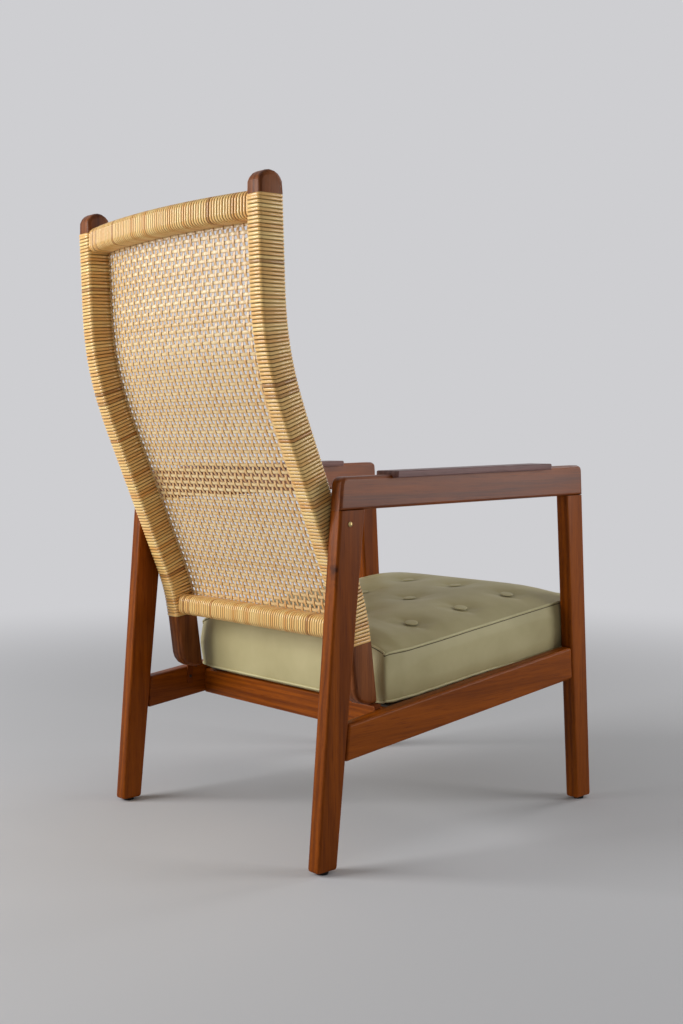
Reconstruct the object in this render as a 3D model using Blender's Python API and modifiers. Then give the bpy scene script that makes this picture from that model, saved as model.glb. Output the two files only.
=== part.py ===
"""High-backed lounge chair: wood side frames, cane-bound back and a loose buttoned seat cushion.

Units are metres and +Z is up. The sitter faces -Y, and their left hand is at +X.
"""

import math

import bmesh
import bpy
import numpy as np
from mathutils import Matrix, Vector

# Fits
FIT_GAP = 0.0003
PEG_SIDES = 8

# Side frames
FRAME_WIDTH = 0.594
SIDE_THICKNESS = 0.027
EDGE_ROUND = 0.005
GLIDE_HEIGHT = 0.004
REAR_LEG_FOOT_Y = 0.346
REAR_LEG_TOP_Y = 0.298
REAR_LEG_FOOT_DEPTH = 0.0415
REAR_LEG_TOP_DEPTH = 0.054
FRONT_LEG_FOOT_Y = -0.349
FRONT_LEG_TOP_Y = -0.314
FRONT_LEG_FOOT_DEPTH = 0.043
FRONT_LEG_TOP_DEPTH = 0.047

# Arms: the underside rises a little to the front
ARM_REAR_Z = 0.5746
ARM_FRONT_Z = 0.5845
ARM_REAR_HEIGHT = 0.053
ARM_FRONT_HEIGHT = 0.0555
ARM_CORNER = 0.011
PLATE_REAR_Y = 0.184
PLATE_FRONT_Y = -0.2065
PLATE_WIDTH = 0.052
PLATE_THICKNESS = 0.011
PLATE_LET_IN = 0.005
PLATE_CORNER = 0.003
PLATE_EDGE = 0.0015

# Seat rails: the side rails rise to the front
RAIL_REAR_TOP_Z = 0.2335
RAIL_FRONT_TOP_Z = 0.297
RAIL_HEIGHT = 0.060
CROSS_REAR_Y = 0.144
CROSS_FRONT_Y = -0.239
CROSS_THICKNESS = 0.022
CROSS_DROP = 0.013
CROSS_HEIGHT = 0.047

# Seat straps
STRAP_COUNT = 5
STRAP_WIDTH = 0.050
STRAP_SIDE_MARGIN = 0.012
STRAP_THICKNESS = 0.0022
STRAP_TAIL = 0.009
SPLINE_WIDTH = 0.004

# Joints: each tenon is given by its thickness, its height or width, and its length
TENON_ROOT = 0.012
TENON_THICKNESS = 0.010
LEG_TENON_WIDTH = 0.028
LEG_TENON_LENGTH = 0.028
RAIL_TENON_HEIGHT = 0.036
RAIL_TENON_LENGTH = 0.020
CROSS_TENON_HEIGHT = 0.024
CROSS_TENON_LENGTH = 0.015
BACK_TENON_HEIGHT = 0.020
BACK_TENON_LENGTH = 0.016

# Bolts that hold the back
BOLT_Z = 0.553
BOLT_SETBACK = 0.009
BOLT_RADIUS = 0.0025
BOLT_HEAD_RADIUS = 0.0045
BOLT_HEAD_HEIGHT = 0.003
BOLT_BITE = 0.017
INSERT_RADIUS = 0.0045
INSERT_LENGTH = 0.016
SPACER_RADIUS = 0.007

# Back stiles: the side view is traced upward from the foot by its lean
STILE_WIDTH = 0.034
STILE_DEPTH = 0.048
STILE_CLEARANCE = 0.0055
STILE_ROUND = 0.006
STILE_FOOT_Y = 0.209
STILE_FOOT_Z = 0.250
STILE_TOP_Z = 1.094
STILE_FOOT_ROUND = 0.032
STILE_FOOT_LEAN = math.radians(7.5)
STILE_MIDDLE_LEAN = math.radians(22.5)
STILE_TOP_LEAN = math.radians(2)
LOWER_BEND_START_Z = 0.345
LOWER_BEND_END_Z = 0.465
UPPER_BEND_START_Z = 0.69
UPPER_BEND_END_Z = 0.945
STILE_STATIONS = 160
STILE_STEP = 0.026

# Back rails
TOP_RAIL_DROP = 0.050
TOP_RAIL_HEIGHT = 0.0335
TOP_RAIL_DEPTH = 0.039
TOP_RAIL_BOW = 0.025
BOTTOM_RAIL_Z = 0.373
BOTTOM_RAIL_HEIGHT = 0.032
BOTTOM_RAIL_DEPTH = 0.036
BOTTOM_RAIL_FORWARD = 0.0025
BACK_RAIL_ROUND = 0.010
BOW_STEPS = 16

# Cane binding: flat strands, drawn with fewer turns than the real ones
STRAND_WIDTH = 0.005
STRAND_THICKNESS = 0.0015
BINDING_GAP = 0.0009
BINDING_LOW_Z = 0.352
DOME_BARE = 0.028
TURNS_RAIL_TO_BOLT = 4.5
TURNS_BOLT_TO_TOP = 13.5
RAIL_TURNS = 12
LOOP_POINTS = 8

# Woven panel, drawn with fewer and larger holes than the real weave, and about the same open share
PANEL_COLUMNS = 10
PANEL_ROWS = 13
PANEL_BAR = 0.031
PANEL_THICKNESS = 0.003
PANEL_SETBACK = 0.004
PANEL_END_GAP = 0.0022

# Seat cushion
CUSHION_REAR_Y = 0.175
CUSHION_FRONT_Y = -0.345
CUSHION_SIDE_GAP = 0.001
CUSHION_LIFT = 0.0045
CUSHION_REAR_BOXING = 0.0765
CUSHION_FRONT_BOXING = 0.081
CUSHION_CROWN = 0.033
CUSHION_BULGE = 0.004
CUSHION_CORNER = 0.030
PIPING_RADIUS = 0.003
CUSHION_COLUMNS = 16
CUSHION_ROWS = 12
BUTTON_COLUMNS = 4
BUTTON_ROWS = 3
BUTTON_RADIUS = 0.0135
BUTTON_DOME = 0.003
TUFT_DEPTH = 0.010
TUFT_REACH = 0.030

# Brackets under the stiles' feet
BRACKET_WIDTH = 0.012
BRACKET_DROP = 0.040
BRACKET_SHELF = 0.031
BRACKET_THICKNESS = 0.0025
SCREW_RADIUS = 0.0016
SCREW_HEAD_RADIUS = 0.003
SCREW_HEAD_HEIGHT = 0.0018
SCREW_LENGTH = 0.015
RAIL_SCREW_DROP = 0.026

# Glides
GLIDE_RADIUS = 0.0105
GLIDE_STEM_RADIUS = 0.0025
GLIDE_STEM_LENGTH = 0.014

# Places that several pieces share
SIDES = {"left": 1, "right": -1}
ENDS = ("rear", "front")
SIDE_INNER_X = FRAME_WIDTH / 2 - SIDE_THICKNESS
SIDE_MIDDLE_X = FRAME_WIDTH / 2 - SIDE_THICKNESS / 2
BINDING_INSET = BINDING_GAP + STRAND_THICKNESS
BINDING_BUILD = BINDING_INSET + FIT_GAP
STILE_MIDDLE_X = SIDE_INNER_X - STILE_CLEARANCE - STILE_WIDTH / 2
CORE_WIDTH = STILE_WIDTH - 2 * BINDING_INSET
CORE_DEPTH = STILE_DEPTH - 2 * BINDING_INSET
CORE_OUTER_X = STILE_MIDDLE_X + CORE_WIDTH / 2
CORE_INNER_X = STILE_MIDDLE_X - CORE_WIDTH / 2
BACK_HALF_WIDTH = CORE_INNER_X - BINDING_BUILD
SPACER_SPAN = SIDE_INNER_X - CORE_OUTER_X
TOP_RAIL_Z = STILE_TOP_Z - TOP_RAIL_DROP
BINDING_HIGH_Z = STILE_TOP_Z - DOME_BARE
STRAP_REACH = SIDE_INNER_X - STRAP_SIDE_MARGIN
STRAP_PITCH = (2 * STRAP_REACH - STRAP_WIDTH) / (STRAP_COUNT - 1)
SIDE_VIEW = (math.pi / 2, 0, math.pi / 2)
FRONT_VIEW = (math.pi / 2, 0, 0)
ALONG_X = (0, math.pi / 2, 0)


def lerp(start, end, share):
    return start + (end - start) * share


def smooth(share):
    share = min(max(share, 0), 1)
    return share * share * (3 - 2 * share)


# Lines of the side view

def rear_leg_back(z):
    return lerp(REAR_LEG_FOOT_Y, REAR_LEG_TOP_Y, z / ARM_REAR_Z)


def rear_leg_front(z):
    return rear_leg_back(z) - lerp(REAR_LEG_FOOT_DEPTH, REAR_LEG_TOP_DEPTH, z / ARM_REAR_Z)


def front_leg_front(z):
    return lerp(FRONT_LEG_FOOT_Y, FRONT_LEG_TOP_Y, z / ARM_FRONT_Z)


def front_leg_back(z):
    return front_leg_front(z) + lerp(FRONT_LEG_FOOT_DEPTH, FRONT_LEG_TOP_DEPTH, z / ARM_FRONT_Z)


LEG_LINES = {"rear": (rear_leg_back, rear_leg_front), "front": (front_leg_back, front_leg_front)}


def arm_share(y):
    return (REAR_LEG_TOP_Y - y) / (REAR_LEG_TOP_Y - FRONT_LEG_TOP_Y)


def arm_under(y):
    return lerp(ARM_REAR_Z, ARM_FRONT_Z, arm_share(y))


def arm_top(y):
    return arm_under(y) + lerp(ARM_REAR_HEIGHT, ARM_FRONT_HEIGHT, arm_share(y))


def rail_top(y):
    rear = rear_leg_front(RAIL_REAR_TOP_Z)
    front = front_leg_back(RAIL_FRONT_TOP_Z)
    return lerp(RAIL_REAR_TOP_Z, RAIL_FRONT_TOP_Z, (rear - y) / (rear - front))


def cross_top(y):
    return rail_top(y) - CROSS_DROP


# Centre line of a back stile

def stile_lean(z):
    lower = smooth((z - LOWER_BEND_START_Z) / (LOWER_BEND_END_Z - LOWER_BEND_START_Z))
    upper = smooth((z - UPPER_BEND_START_Z) / (UPPER_BEND_END_Z - UPPER_BEND_START_Z))
    middle = lerp(STILE_FOOT_LEAN, STILE_MIDDLE_LEAN, lower)
    return lerp(middle, STILE_TOP_LEAN, upper)


STILE_HEIGHTS = np.linspace(STILE_FOOT_Z, STILE_TOP_Z, STILE_STATIONS)
STILE_LEANS = np.array([stile_lean(z) for z in STILE_HEIGHTS])
STILE_RISE = STILE_HEIGHTS[1] - STILE_HEIGHTS[0]
STILE_SHIFTS = np.cumsum(np.tan((STILE_LEANS[1:] + STILE_LEANS[:-1]) / 2) * STILE_RISE)
STILE_YS = STILE_FOOT_Y + np.concatenate(([0], STILE_SHIFTS))
STILE_RUNS = np.hypot(np.diff(STILE_YS), STILE_RISE)
STILE_LENGTHS = np.concatenate(([0], np.cumsum(STILE_RUNS)))


def stile_length(z):
    return np.interp(z, STILE_HEIGHTS, STILE_LENGTHS)


def stile_y(z):
    return np.interp(z, STILE_HEIGHTS, STILE_YS)


def stile_point(length, rearward):
    """Point in the side view at a length up the stile, set back from its centre line."""
    z = np.interp(length, STILE_LENGTHS, STILE_HEIGHTS)
    lean = stile_lean(z)
    return Vector((0, stile_y(z) + rearward * math.cos(lean), z - rearward * math.sin(lean)))


def bow(x):
    return TOP_RAIL_BOW * (1 - (x / CORE_INNER_X) ** 2)


# Scene, materials and modelling helpers

def clear_scene():
    for old in list(bpy.data.objects):
        bpy.data.objects.remove(old, do_unlink=True)


def new_collection(name):
    collection = bpy.data.collections.new(name)
    bpy.context.scene.collection.children.link(collection)
    return collection


def new_empty(name, location, parent):
    empty = bpy.data.objects.new(name, None)
    empty.location = location
    empty.parent = parent
    PARTS.objects.link(empty)
    return empty


def material(name, colour, roughness, metallic=0.0):
    mat = bpy.data.materials.new(name)
    mat.use_nodes = True
    shader = mat.node_tree.nodes["Principled BSDF"]
    shader.inputs["Base Color"].default_value = (*colour, 1)
    shader.inputs["Roughness"].default_value = roughness
    shader.inputs["Metallic"].default_value = metallic
    return mat


def place(name, mesh, mat, location=(0, 0, 0), rotation=(0, 0, 0), parent=None):
    """Add a piece of the chair."""
    obj = bpy.data.objects.new(name, mesh)
    obj.data.materials.append(mat)
    obj.location = location
    obj.rotation_euler = rotation
    obj.parent = parent or ROOT
    PARTS.objects.link(obj)
    return obj


def cutter(name, mesh, location=(0, 0, 0), rotation=(0, 0, 0)):
    obj = bpy.data.objects.new(name, mesh)
    obj.location = location
    obj.rotation_euler = rotation
    obj.parent = ROOT
    obj.hide_render = True
    obj.display_type = "WIRE"
    CUTTERS.objects.link(obj)
    return obj


def cut(obj, tool):
    boolean = obj.modifiers.new("Cut " + tool.name, "BOOLEAN")
    boolean.operation = "DIFFERENCE"
    boolean.solver = "EXACT"
    boolean.object = tool


def join(obj, tool):
    boolean = obj.modifiers.new("Join " + tool.name, "BOOLEAN")
    boolean.operation = "UNION"
    boolean.solver = "EXACT"
    boolean.object = tool


def round_edges(obj, width, segments=2):
    """Round the edges that carry a bevel weight."""
    bevel = obj.modifiers.new("Rounded edges", "BEVEL")
    bevel.limit_method = "WEIGHT"
    bevel.width = width
    bevel.segments = segments


def mesh_from_curve(name, curve):
    """Closed mesh of a curve, with its caps welded on."""
    holder = bpy.data.objects.new(name, curve)
    PARTS.objects.link(holder)
    graph = bpy.context.evaluated_depsgraph_get()
    mesh = bpy.data.meshes.new_from_object(holder.evaluated_get(graph))
    mesh.materials.clear()
    bpy.data.objects.remove(holder, do_unlink=True)
    bm = bmesh.new()
    bm.from_mesh(mesh)
    bmesh.ops.remove_doubles(bm, verts=bm.verts, dist=1e-6)
    bmesh.ops.recalc_face_normals(bm, faces=bm.faces)
    bm.to_mesh(mesh)
    bm.free()
    return mesh


def poly_curve(name, points, cyclic, dimensions):
    curve = bpy.data.curves.new(name, "CURVE")
    curve.dimensions = dimensions
    spline = curve.splines.new("POLY")
    spline.points.add(len(points) - 1)
    for point, position in zip(spline.points, points):
        point.co = (*position, 1)
    spline.use_cyclic_u = cyclic
    return curve


def slab(name, outline, thickness, keep_sharp=None):
    """Flat outline extruded to a thickness, with bevel weights on its hard edges.

    keep_sharp says, for a point of the outline, whether the edge there stays sharp.
    """
    curve = poly_curve(name, [(u, v, 0) for u, v in outline], True, "2D")
    curve.fill_mode = "BOTH"
    curve.extrude = thickness / 2
    mesh = mesh_from_curve(name, curve)
    bm = bmesh.new()
    bm.from_mesh(mesh)
    bmesh.ops.dissolve_limit(bm, angle_limit=math.radians(0.2), verts=bm.verts, edges=bm.edges)
    weights = bm.edges.layers.float.new("bevel_weight_edge")
    for edge in bm.edges:
        middle = (edge.verts[0].co + edge.verts[1].co) / 2
        hard = edge.calc_face_angle() > math.radians(40)
        if hard and not (keep_sharp and keep_sharp(middle.x, middle.y)):
            edge[weights] = 1
    bm.to_mesh(mesh)
    bm.free()
    return mesh


def fillet(corners, steps=4):
    """Outline whose corners, given as (u, v, radius), are rounded by arcs."""
    outline = []
    for index, (u, v, radius) in enumerate(corners):
        corner = Vector((u, v))
        if radius == 0:
            outline.append(corner)
            continue
        before = (Vector(corners[index - 1][:2]) - corner).normalized()
        after = (Vector(corners[(index + 1) % len(corners)][:2]) - corner).normalized()
        half = before.angle(after) / 2
        centre = corner + (before + after).normalized() * radius / math.sin(half)
        start = corner + before * radius / math.tan(half) - centre
        end = corner + after * radius / math.tan(half) - centre
        for step in range(steps + 1):
            outline.append(centre + radius * start.slerp(end, step / steps))
    return outline


def box(name, low, high):
    bm = bmesh.new()
    size = Vector(high) - Vector(low)
    middle = (Vector(high) + Vector(low)) / 2
    bmesh.ops.create_cube(bm, size=1, matrix=Matrix.Translation(middle) @ Matrix.Diagonal((*size, 1)))
    mesh = bpy.data.meshes.new(name)
    bm.to_mesh(mesh)
    bm.free()
    return mesh


def tenon(name, low, high):
    """Helpers of one joint: the tongue that a piece is joined to, and the mortise that takes it."""
    low, high = Vector(map(min, low, high)), Vector(map(max, low, high))
    gap = Vector((FIT_GAP, FIT_GAP, FIT_GAP))
    tongue = cutter(name + "_tenon", box(name + "_tenon", low, high))
    mortise = cutter(name + "_mortise", box(name + "_mortise", low - gap, high + gap))
    return tongue, mortise


def turned(name, profile, sides=PEG_SIDES, closed=False):
    """Mesh turned about Z from a profile of (radius, height) points."""
    count = len(profile)
    edges = [(i, i + 1) for i in range(count - 1)]
    if closed:
        edges.append((count - 1, 0))
    mesh = bpy.data.meshes.new(name + "_profile")
    mesh.from_pydata([(radius, 0, height) for radius, height in profile], edges, [])
    holder = bpy.data.objects.new(name + "_profile", mesh)
    PARTS.objects.link(holder)
    screw = holder.modifiers.new("Turned", "SCREW")
    screw.steps = sides
    screw.render_steps = sides
    screw.use_merge_vertices = True
    screw.merge_threshold = 1e-5
    graph = bpy.context.evaluated_depsgraph_get()
    turned_mesh = bpy.data.meshes.new_from_object(holder.evaluated_get(graph))
    turned_mesh.name = name
    bpy.data.objects.remove(holder, do_unlink=True)
    turned_mesh.shade_smooth()
    turned_mesh.set_sharp_from_angle(angle=math.radians(40))
    return turned_mesh


def turned_hole(name, radius, top, bottom, location, rotation):
    """Cutter for a round hole along its own Z axis."""
    profile = [(0, top), (radius, top), (radius, bottom), (0, bottom)]
    return cutter(name, turned(name, profile), location, rotation)


# Joints of the wood frame

def leg_tenon(end, side):
    sign = SIDES[side]
    z = {"rear": ARM_REAR_Z, "front": ARM_FRONT_Z}[end]
    back, front = LEG_LINES[end]
    middle = (back(z) + front(z)) / 2
    x = sign * SIDE_MIDDLE_X
    half_x, half_y = TENON_THICKNESS / 2, LEG_TENON_WIDTH / 2
    shoulder = arm_under(middle)
    return tenon(f"leg_{end}_{side}", (x - half_x, middle - half_y, shoulder - TENON_ROOT),
                 (x + half_x, middle + half_y, shoulder + LEG_TENON_LENGTH))


def rail_tenon(end, side):
    sign = SIDES[side]
    z = {"rear": RAIL_REAR_TOP_Z, "front": RAIL_FRONT_TOP_Z}[end] - RAIL_HEIGHT / 2
    face, outward = {"rear": (rear_leg_front(z), 1), "front": (front_leg_back(z), -1)}[end]
    x = sign * SIDE_MIDDLE_X
    half_x, half_z = TENON_THICKNESS / 2, RAIL_TENON_HEIGHT / 2
    return tenon(f"side_rail_{side}_{end}", (x - half_x, face - outward * TENON_ROOT, z - half_z),
                 (x + half_x, face + outward * RAIL_TENON_LENGTH, z + half_z))


def cross_tenon(end, side):
    sign = SIDES[side]
    y = {"rear": CROSS_REAR_Y, "front": CROSS_FRONT_Y}[end]
    z = cross_top(y) - (CROSS_HEIGHT + STRAP_TAIL) / 2
    half_y, half_z = TENON_THICKNESS / 2, CROSS_TENON_HEIGHT / 2
    return tenon(f"cross_rail_{end}_{side}", (sign * (SIDE_INNER_X - TENON_ROOT), y - half_y, z - half_z),
                 (sign * (SIDE_INNER_X + CROSS_TENON_LENGTH), y + half_y, z + half_z))


def back_tenon(name, side, z):
    sign = SIDES[side]
    y = stile_y(z)
    half_y, half_z = TENON_THICKNESS / 2, BACK_TENON_HEIGHT / 2
    return tenon(f"{name}_{side}", (sign * (CORE_INNER_X - TENON_ROOT), y - half_y, z - half_z),
                 (sign * (CORE_INNER_X + BACK_TENON_LENGTH), y + half_y, z + half_z))


# Wood side frames

def add_legs():
    def sharp_at_arm(y, z):
        return z > arm_under(y) - 2 * FIT_GAP

    foot = GLIDE_HEIGHT + FIT_GAP
    for end, top_z in (("rear", ARM_REAR_Z), ("front", ARM_FRONT_Z)):
        back, front = LEG_LINES[end]
        outline = [(front(foot), foot), (back(foot), foot)]
        outline += [(y, arm_under(y) - FIT_GAP) for y in (back(top_z), front(top_z))]
        for side, sign in SIDES.items():
            name = f"leg_{end}_{side}"
            leg = place(name, slab(name, outline, SIDE_THICKNESS, sharp_at_arm), FRAME_WOOD,
                        (sign * SIDE_MIDDLE_X, 0, 0), SIDE_VIEW)
            round_edges(leg, EDGE_ROUND)
            join(leg, LEG_TENONS[end, side][0])
            cut(leg, RAIL_TENONS[end, side][1])
            cut(leg, GLIDE_HOLES[end, side])
            if end == "rear":
                cut(leg, BOLT_HOLES[side])


def add_arms():
    rear_top_z = arm_top(REAR_LEG_TOP_Y)
    front_top_z = arm_top(FRONT_LEG_TOP_Y)
    rear_shoulder = rear_leg_front(ARM_REAR_Z)
    front_shoulder = front_leg_back(ARM_FRONT_Z)

    def sharp_over_legs(y, z):
        return z < arm_under(y) + FIT_GAP and not front_shoulder < y < rear_shoulder

    outline = fillet([
        (REAR_LEG_TOP_Y, ARM_REAR_Z, 0),
        (rear_leg_back(rear_top_z), rear_top_z, ARM_CORNER),
        (front_leg_front(front_top_z), front_top_z, ARM_CORNER),
        (FRONT_LEG_TOP_Y, ARM_FRONT_Z, 0),
        (front_shoulder, arm_under(front_shoulder), 0),
        (rear_shoulder, arm_under(rear_shoulder), 0),
    ])
    rear, front = PLATE_REAR_Y + FIT_GAP, PLATE_FRONT_Y - FIT_GAP
    seat = [(rear, arm_top(rear) - PLATE_LET_IN), (rear, arm_top(rear) + PLATE_THICKNESS),
            (front, arm_top(front) + PLATE_THICKNESS), (front, arm_top(front) - PLATE_LET_IN)]
    for side, sign in SIDES.items():
        name = f"arm_{side}"
        arm = place(name, slab(name, outline, SIDE_THICKNESS, sharp_over_legs), FRAME_WOOD,
                    (sign * SIDE_MIDDLE_X, 0, 0), SIDE_VIEW)
        round_edges(arm, EDGE_ROUND)
        cut(arm, cutter(f"arm_plate_seat_{side}", slab("arm_plate_seat", seat, 2 * SIDE_THICKNESS),
                        (sign * SIDE_MIDDLE_X, 0, 0), SIDE_VIEW))
        cut(arm, LEG_TENONS["rear", side][1])
        cut(arm, LEG_TENONS["front", side][1])


def add_arm_plates():
    def top(y):
        return arm_top(y) - PLATE_LET_IN + FIT_GAP + PLATE_THICKNESS

    outline = fillet([
        (PLATE_REAR_Y, top(PLATE_REAR_Y) - PLATE_THICKNESS, 0),
        (PLATE_REAR_Y, top(PLATE_REAR_Y), PLATE_CORNER),
        (PLATE_FRONT_Y, top(PLATE_FRONT_Y), PLATE_CORNER),
        (PLATE_FRONT_Y, top(PLATE_FRONT_Y) - PLATE_THICKNESS, 0),
    ])
    for side, sign in SIDES.items():
        name = f"arm_plate_{side}"
        plate = place(name, slab(name, outline, PLATE_WIDTH), PLATE_WOOD,
                      (sign * SIDE_MIDDLE_X, 0, 0), SIDE_VIEW)
        round_edges(plate, PLATE_EDGE)


def add_side_rails():
    def rear(z):
        return rear_leg_front(z) - FIT_GAP

    def front(z):
        return front_leg_back(z) + FIT_GAP

    rear_under_z = RAIL_REAR_TOP_Z - RAIL_HEIGHT
    front_under_z = RAIL_FRONT_TOP_Z - RAIL_HEIGHT
    outline = [(rear(rear_under_z), rear_under_z), (rear(RAIL_REAR_TOP_Z), RAIL_REAR_TOP_Z),
               (front(RAIL_FRONT_TOP_Z), RAIL_FRONT_TOP_Z), (front(front_under_z), front_under_z)]
    for side, sign in SIDES.items():
        name = f"side_rail_{side}"
        rail = place(name, slab(name, outline, SIDE_THICKNESS), FRAME_WOOD,
                     (sign * SIDE_MIDDLE_X, 0, 0), SIDE_VIEW)
        round_edges(rail, EDGE_ROUND)
        for end in ENDS:
            join(rail, RAIL_TENONS[end, side][0])
            cut(rail, CROSS_TENONS[end, side][1])
        cut(rail, RAIL_SCREW_HOLES[side])


def add_cross_rails():
    length = 2 * (SIDE_INNER_X - FIT_GAP)
    half = CROSS_THICKNESS / 2
    groove_half = (STRAP_THICKNESS + SPLINE_WIDTH + 3 * FIT_GAP) / 2
    groove_depth = STRAP_TAIL + FIT_GAP
    groove_reach = STRAP_REACH + FIT_GAP
    for end, y in (("rear", CROSS_REAR_Y), ("front", CROSS_FRONT_Y)):
        name = f"cross_rail_{end}"
        front_z, rear_z = cross_top(y - half), cross_top(y + half)
        outline = [(y - half, front_z - CROSS_HEIGHT), (y + half, rear_z - CROSS_HEIGHT),
                   (y + half, rear_z), (y - half, front_z)]
        rail = place(name, slab(name, outline, length), FRAME_WOOD, (0, 0, 0), SIDE_VIEW)
        round_edges(rail, EDGE_ROUND / 2)
        top = cross_top(y)
        groove = box(f"strap_groove_{end}", (-groove_reach, y - groove_half, top - groove_depth),
                     (groove_reach, y + groove_half, top + CROSS_HEIGHT))
        cut(rail, cutter(f"strap_groove_{end}", groove))
        for side in SIDES:
            join(rail, CROSS_TENONS[end, side][0])


# Seat straps: their tails go down into a groove, outside a spline that holds them there

def add_seat_straps():
    shift = (SPLINE_WIDTH + FIT_GAP) / 2
    half = STRAP_THICKNESS / 2
    rear, front = CROSS_REAR_Y + shift, CROSS_FRONT_Y - shift

    def under(y):
        return cross_top(y) + FIT_GAP

    rear_tail, front_tail = cross_top(CROSS_REAR_Y) - STRAP_TAIL, cross_top(CROSS_FRONT_Y) - STRAP_TAIL
    strap = [(rear + half, rear_tail), (rear + half, under(rear + half) + STRAP_THICKNESS),
             (front - half, under(front - half) + STRAP_THICKNESS), (front - half, front_tail),
             (front + half, front_tail), (front + half, under(front + half)),
             (rear - half, under(rear - half)), (rear - half, rear_tail)]
    for index in range(STRAP_COUNT):
        name = f"seat_strap_{index + 1}"
        x = (index - (STRAP_COUNT - 1) / 2) * STRAP_PITCH
        place(name, slab(name, strap, STRAP_WIDTH), STRAP_RUBBER, (x, 0, 0), SIDE_VIEW)
    inset = (STRAP_THICKNESS + FIT_GAP) / 2
    for end, y in (("rear", CROSS_REAR_Y - inset), ("front", CROSS_FRONT_Y + inset)):
        name = f"strap_spline_{end}"
        low, high = y - SPLINE_WIDTH / 2, y + SPLINE_WIDTH / 2
        bottom = cross_top({"rear": CROSS_REAR_Y, "front": CROSS_FRONT_Y}[end]) - STRAP_TAIL
        top = min(under(low), under(high)) - 2 * FIT_GAP
        place(name, box(name, (-STRAP_REACH, low, bottom), (STRAP_REACH, high, top)), SPLINE_WOOD)


# Cane-bound back

def stile_sides(low, high, depth):
    """Front points going up and rear points coming down, between two lengths along a stile."""
    lengths = np.linspace(low, high, round((high - low) / STILE_STEP) + 1)
    front = [stile_point(length, -depth / 2) for length in lengths]
    rear = [stile_point(length, depth / 2) for length in reversed(lengths)]
    return [(point.y, point.z, 0) for point in front], [(point.y, point.z, 0) for point in rear]


def stile_core_outline():
    low = stile_length(BINDING_LOW_Z) - TENON_ROOT
    high = stile_length(BINDING_HIGH_Z) + TENON_ROOT / 2
    front, rear = stile_sides(low, high, CORE_DEPTH)
    return fillet(front + rear)


def stile_foot_outline():
    low = stile_length(STILE_FOOT_Z + STILE_FOOT_ROUND + FIT_GAP)
    front, rear = stile_sides(low, stile_length(BINDING_LOW_Z), STILE_DEPTH)
    sole = [(STILE_FOOT_Y + STILE_DEPTH / 2, STILE_FOOT_Z, STILE_FOOT_ROUND),
            (STILE_FOOT_Y - STILE_DEPTH / 2, STILE_FOOT_Z, 0)]
    return fillet(front + rear + sole)


def stile_dome_outline():
    radius = STILE_DEPTH / 2
    centre_z = STILE_TOP_Z - radius
    front, rear = stile_sides(stile_length(BINDING_HIGH_Z), stile_length(centre_z), STILE_DEPTH)
    dome = []
    for step in range(1, 10):
        angle = math.pi * (1 - step / 10) - STILE_TOP_LEAN
        dome.append((stile_y(centre_z) + radius * math.cos(angle), centre_z + radius * math.sin(angle), 0))
    return fillet(front + dome + rear)


def add_stiles():
    """Bare wood at the foot and the dome, and a thinner core between them that carries the binding."""
    def sharp_at_shoulder(y, z):
        for end_z in (BINDING_LOW_Z, BINDING_HIGH_Z):
            end = stile_point(stile_length(end_z), 0)
            lean = stile_lean(end_z)
            if abs((y - end.y) * math.sin(lean) + (z - end.z) * math.cos(lean)) < FIT_GAP:
                return True
        return False

    ends = {"foot": stile_foot_outline(), "dome": stile_dome_outline()}
    core = stile_core_outline()
    for side, sign in SIDES.items():
        name = f"back_stile_{side}"
        middle = (sign * STILE_MIDDLE_X, 0, 0)
        stile = place(name, slab(name, core, CORE_WIDTH), STILE_WOOD, middle, SIDE_VIEW)
        round_edges(stile, EDGE_ROUND)
        for end, outline in ends.items():
            shape = slab(f"{name}_{end}", outline, STILE_WIDTH, sharp_at_shoulder)
            block = cutter(f"{name}_{end}", shape, middle, SIDE_VIEW)
            round_edges(block, STILE_ROUND)
            join(stile, block)
        cut(stile, TOP_TENONS[side][1])
        cut(stile, BOTTOM_TENONS[side][1])
        cut(stile, INSERT_HOLES[side])
        cut(stile, FOOT_SCREW_HOLES[side])


def add_back_rails():
    xs = np.linspace(-BACK_HALF_WIDTH, BACK_HALF_WIDTH, BOW_STEPS + 1)
    middle = stile_y(TOP_RAIL_Z)
    front = [(x, middle + bow(x) - TOP_RAIL_DEPTH / 2) for x in xs]
    rear = [(x, middle + bow(x) + TOP_RAIL_DEPTH / 2) for x in reversed(xs)]
    top = place("back_top_rail", slab("back_top_rail", front + rear, TOP_RAIL_HEIGHT), STILE_WOOD,
                (0, 0, TOP_RAIL_Z))
    half = BOTTOM_RAIL_DEPTH / 2
    middle = stile_y(BOTTOM_RAIL_Z) - BOTTOM_RAIL_FORWARD
    plan = [(-BACK_HALF_WIDTH, middle - half), (BACK_HALF_WIDTH, middle - half),
            (BACK_HALF_WIDTH, middle + half), (-BACK_HALF_WIDTH, middle + half)]
    bottom = place("back_bottom_rail", slab("back_bottom_rail", plan, BOTTOM_RAIL_HEIGHT), STILE_WOOD,
                   (0, 0, BOTTOM_RAIL_Z))
    for rail, tenons in ((top, TOP_TENONS), (bottom, BOTTOM_TENONS)):
        round_edges(rail, BACK_RAIL_ROUND)
        for side in SIDES:
            join(rail, tenons[side][0])


def loop_corner(index, half_width, half_depth, edge_round):
    """Corner of a strand's loop round a rounded bar, counted from the bar's first side."""
    standoff = BINDING_GAP + STRAND_THICKNESS / 2
    a, b = half_width + standoff, half_depth + standoff
    chamfer = 0.6 * edge_round
    quarter = [(a, b - chamfer), (a - chamfer, b)]
    mirrored = [(-u, v) for u, v in reversed(quarter)]
    corners = quarter + mirrored + [(-u, -v) for u, v in quarter + mirrored]
    return corners[index % LOOP_POINTS]


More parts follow.
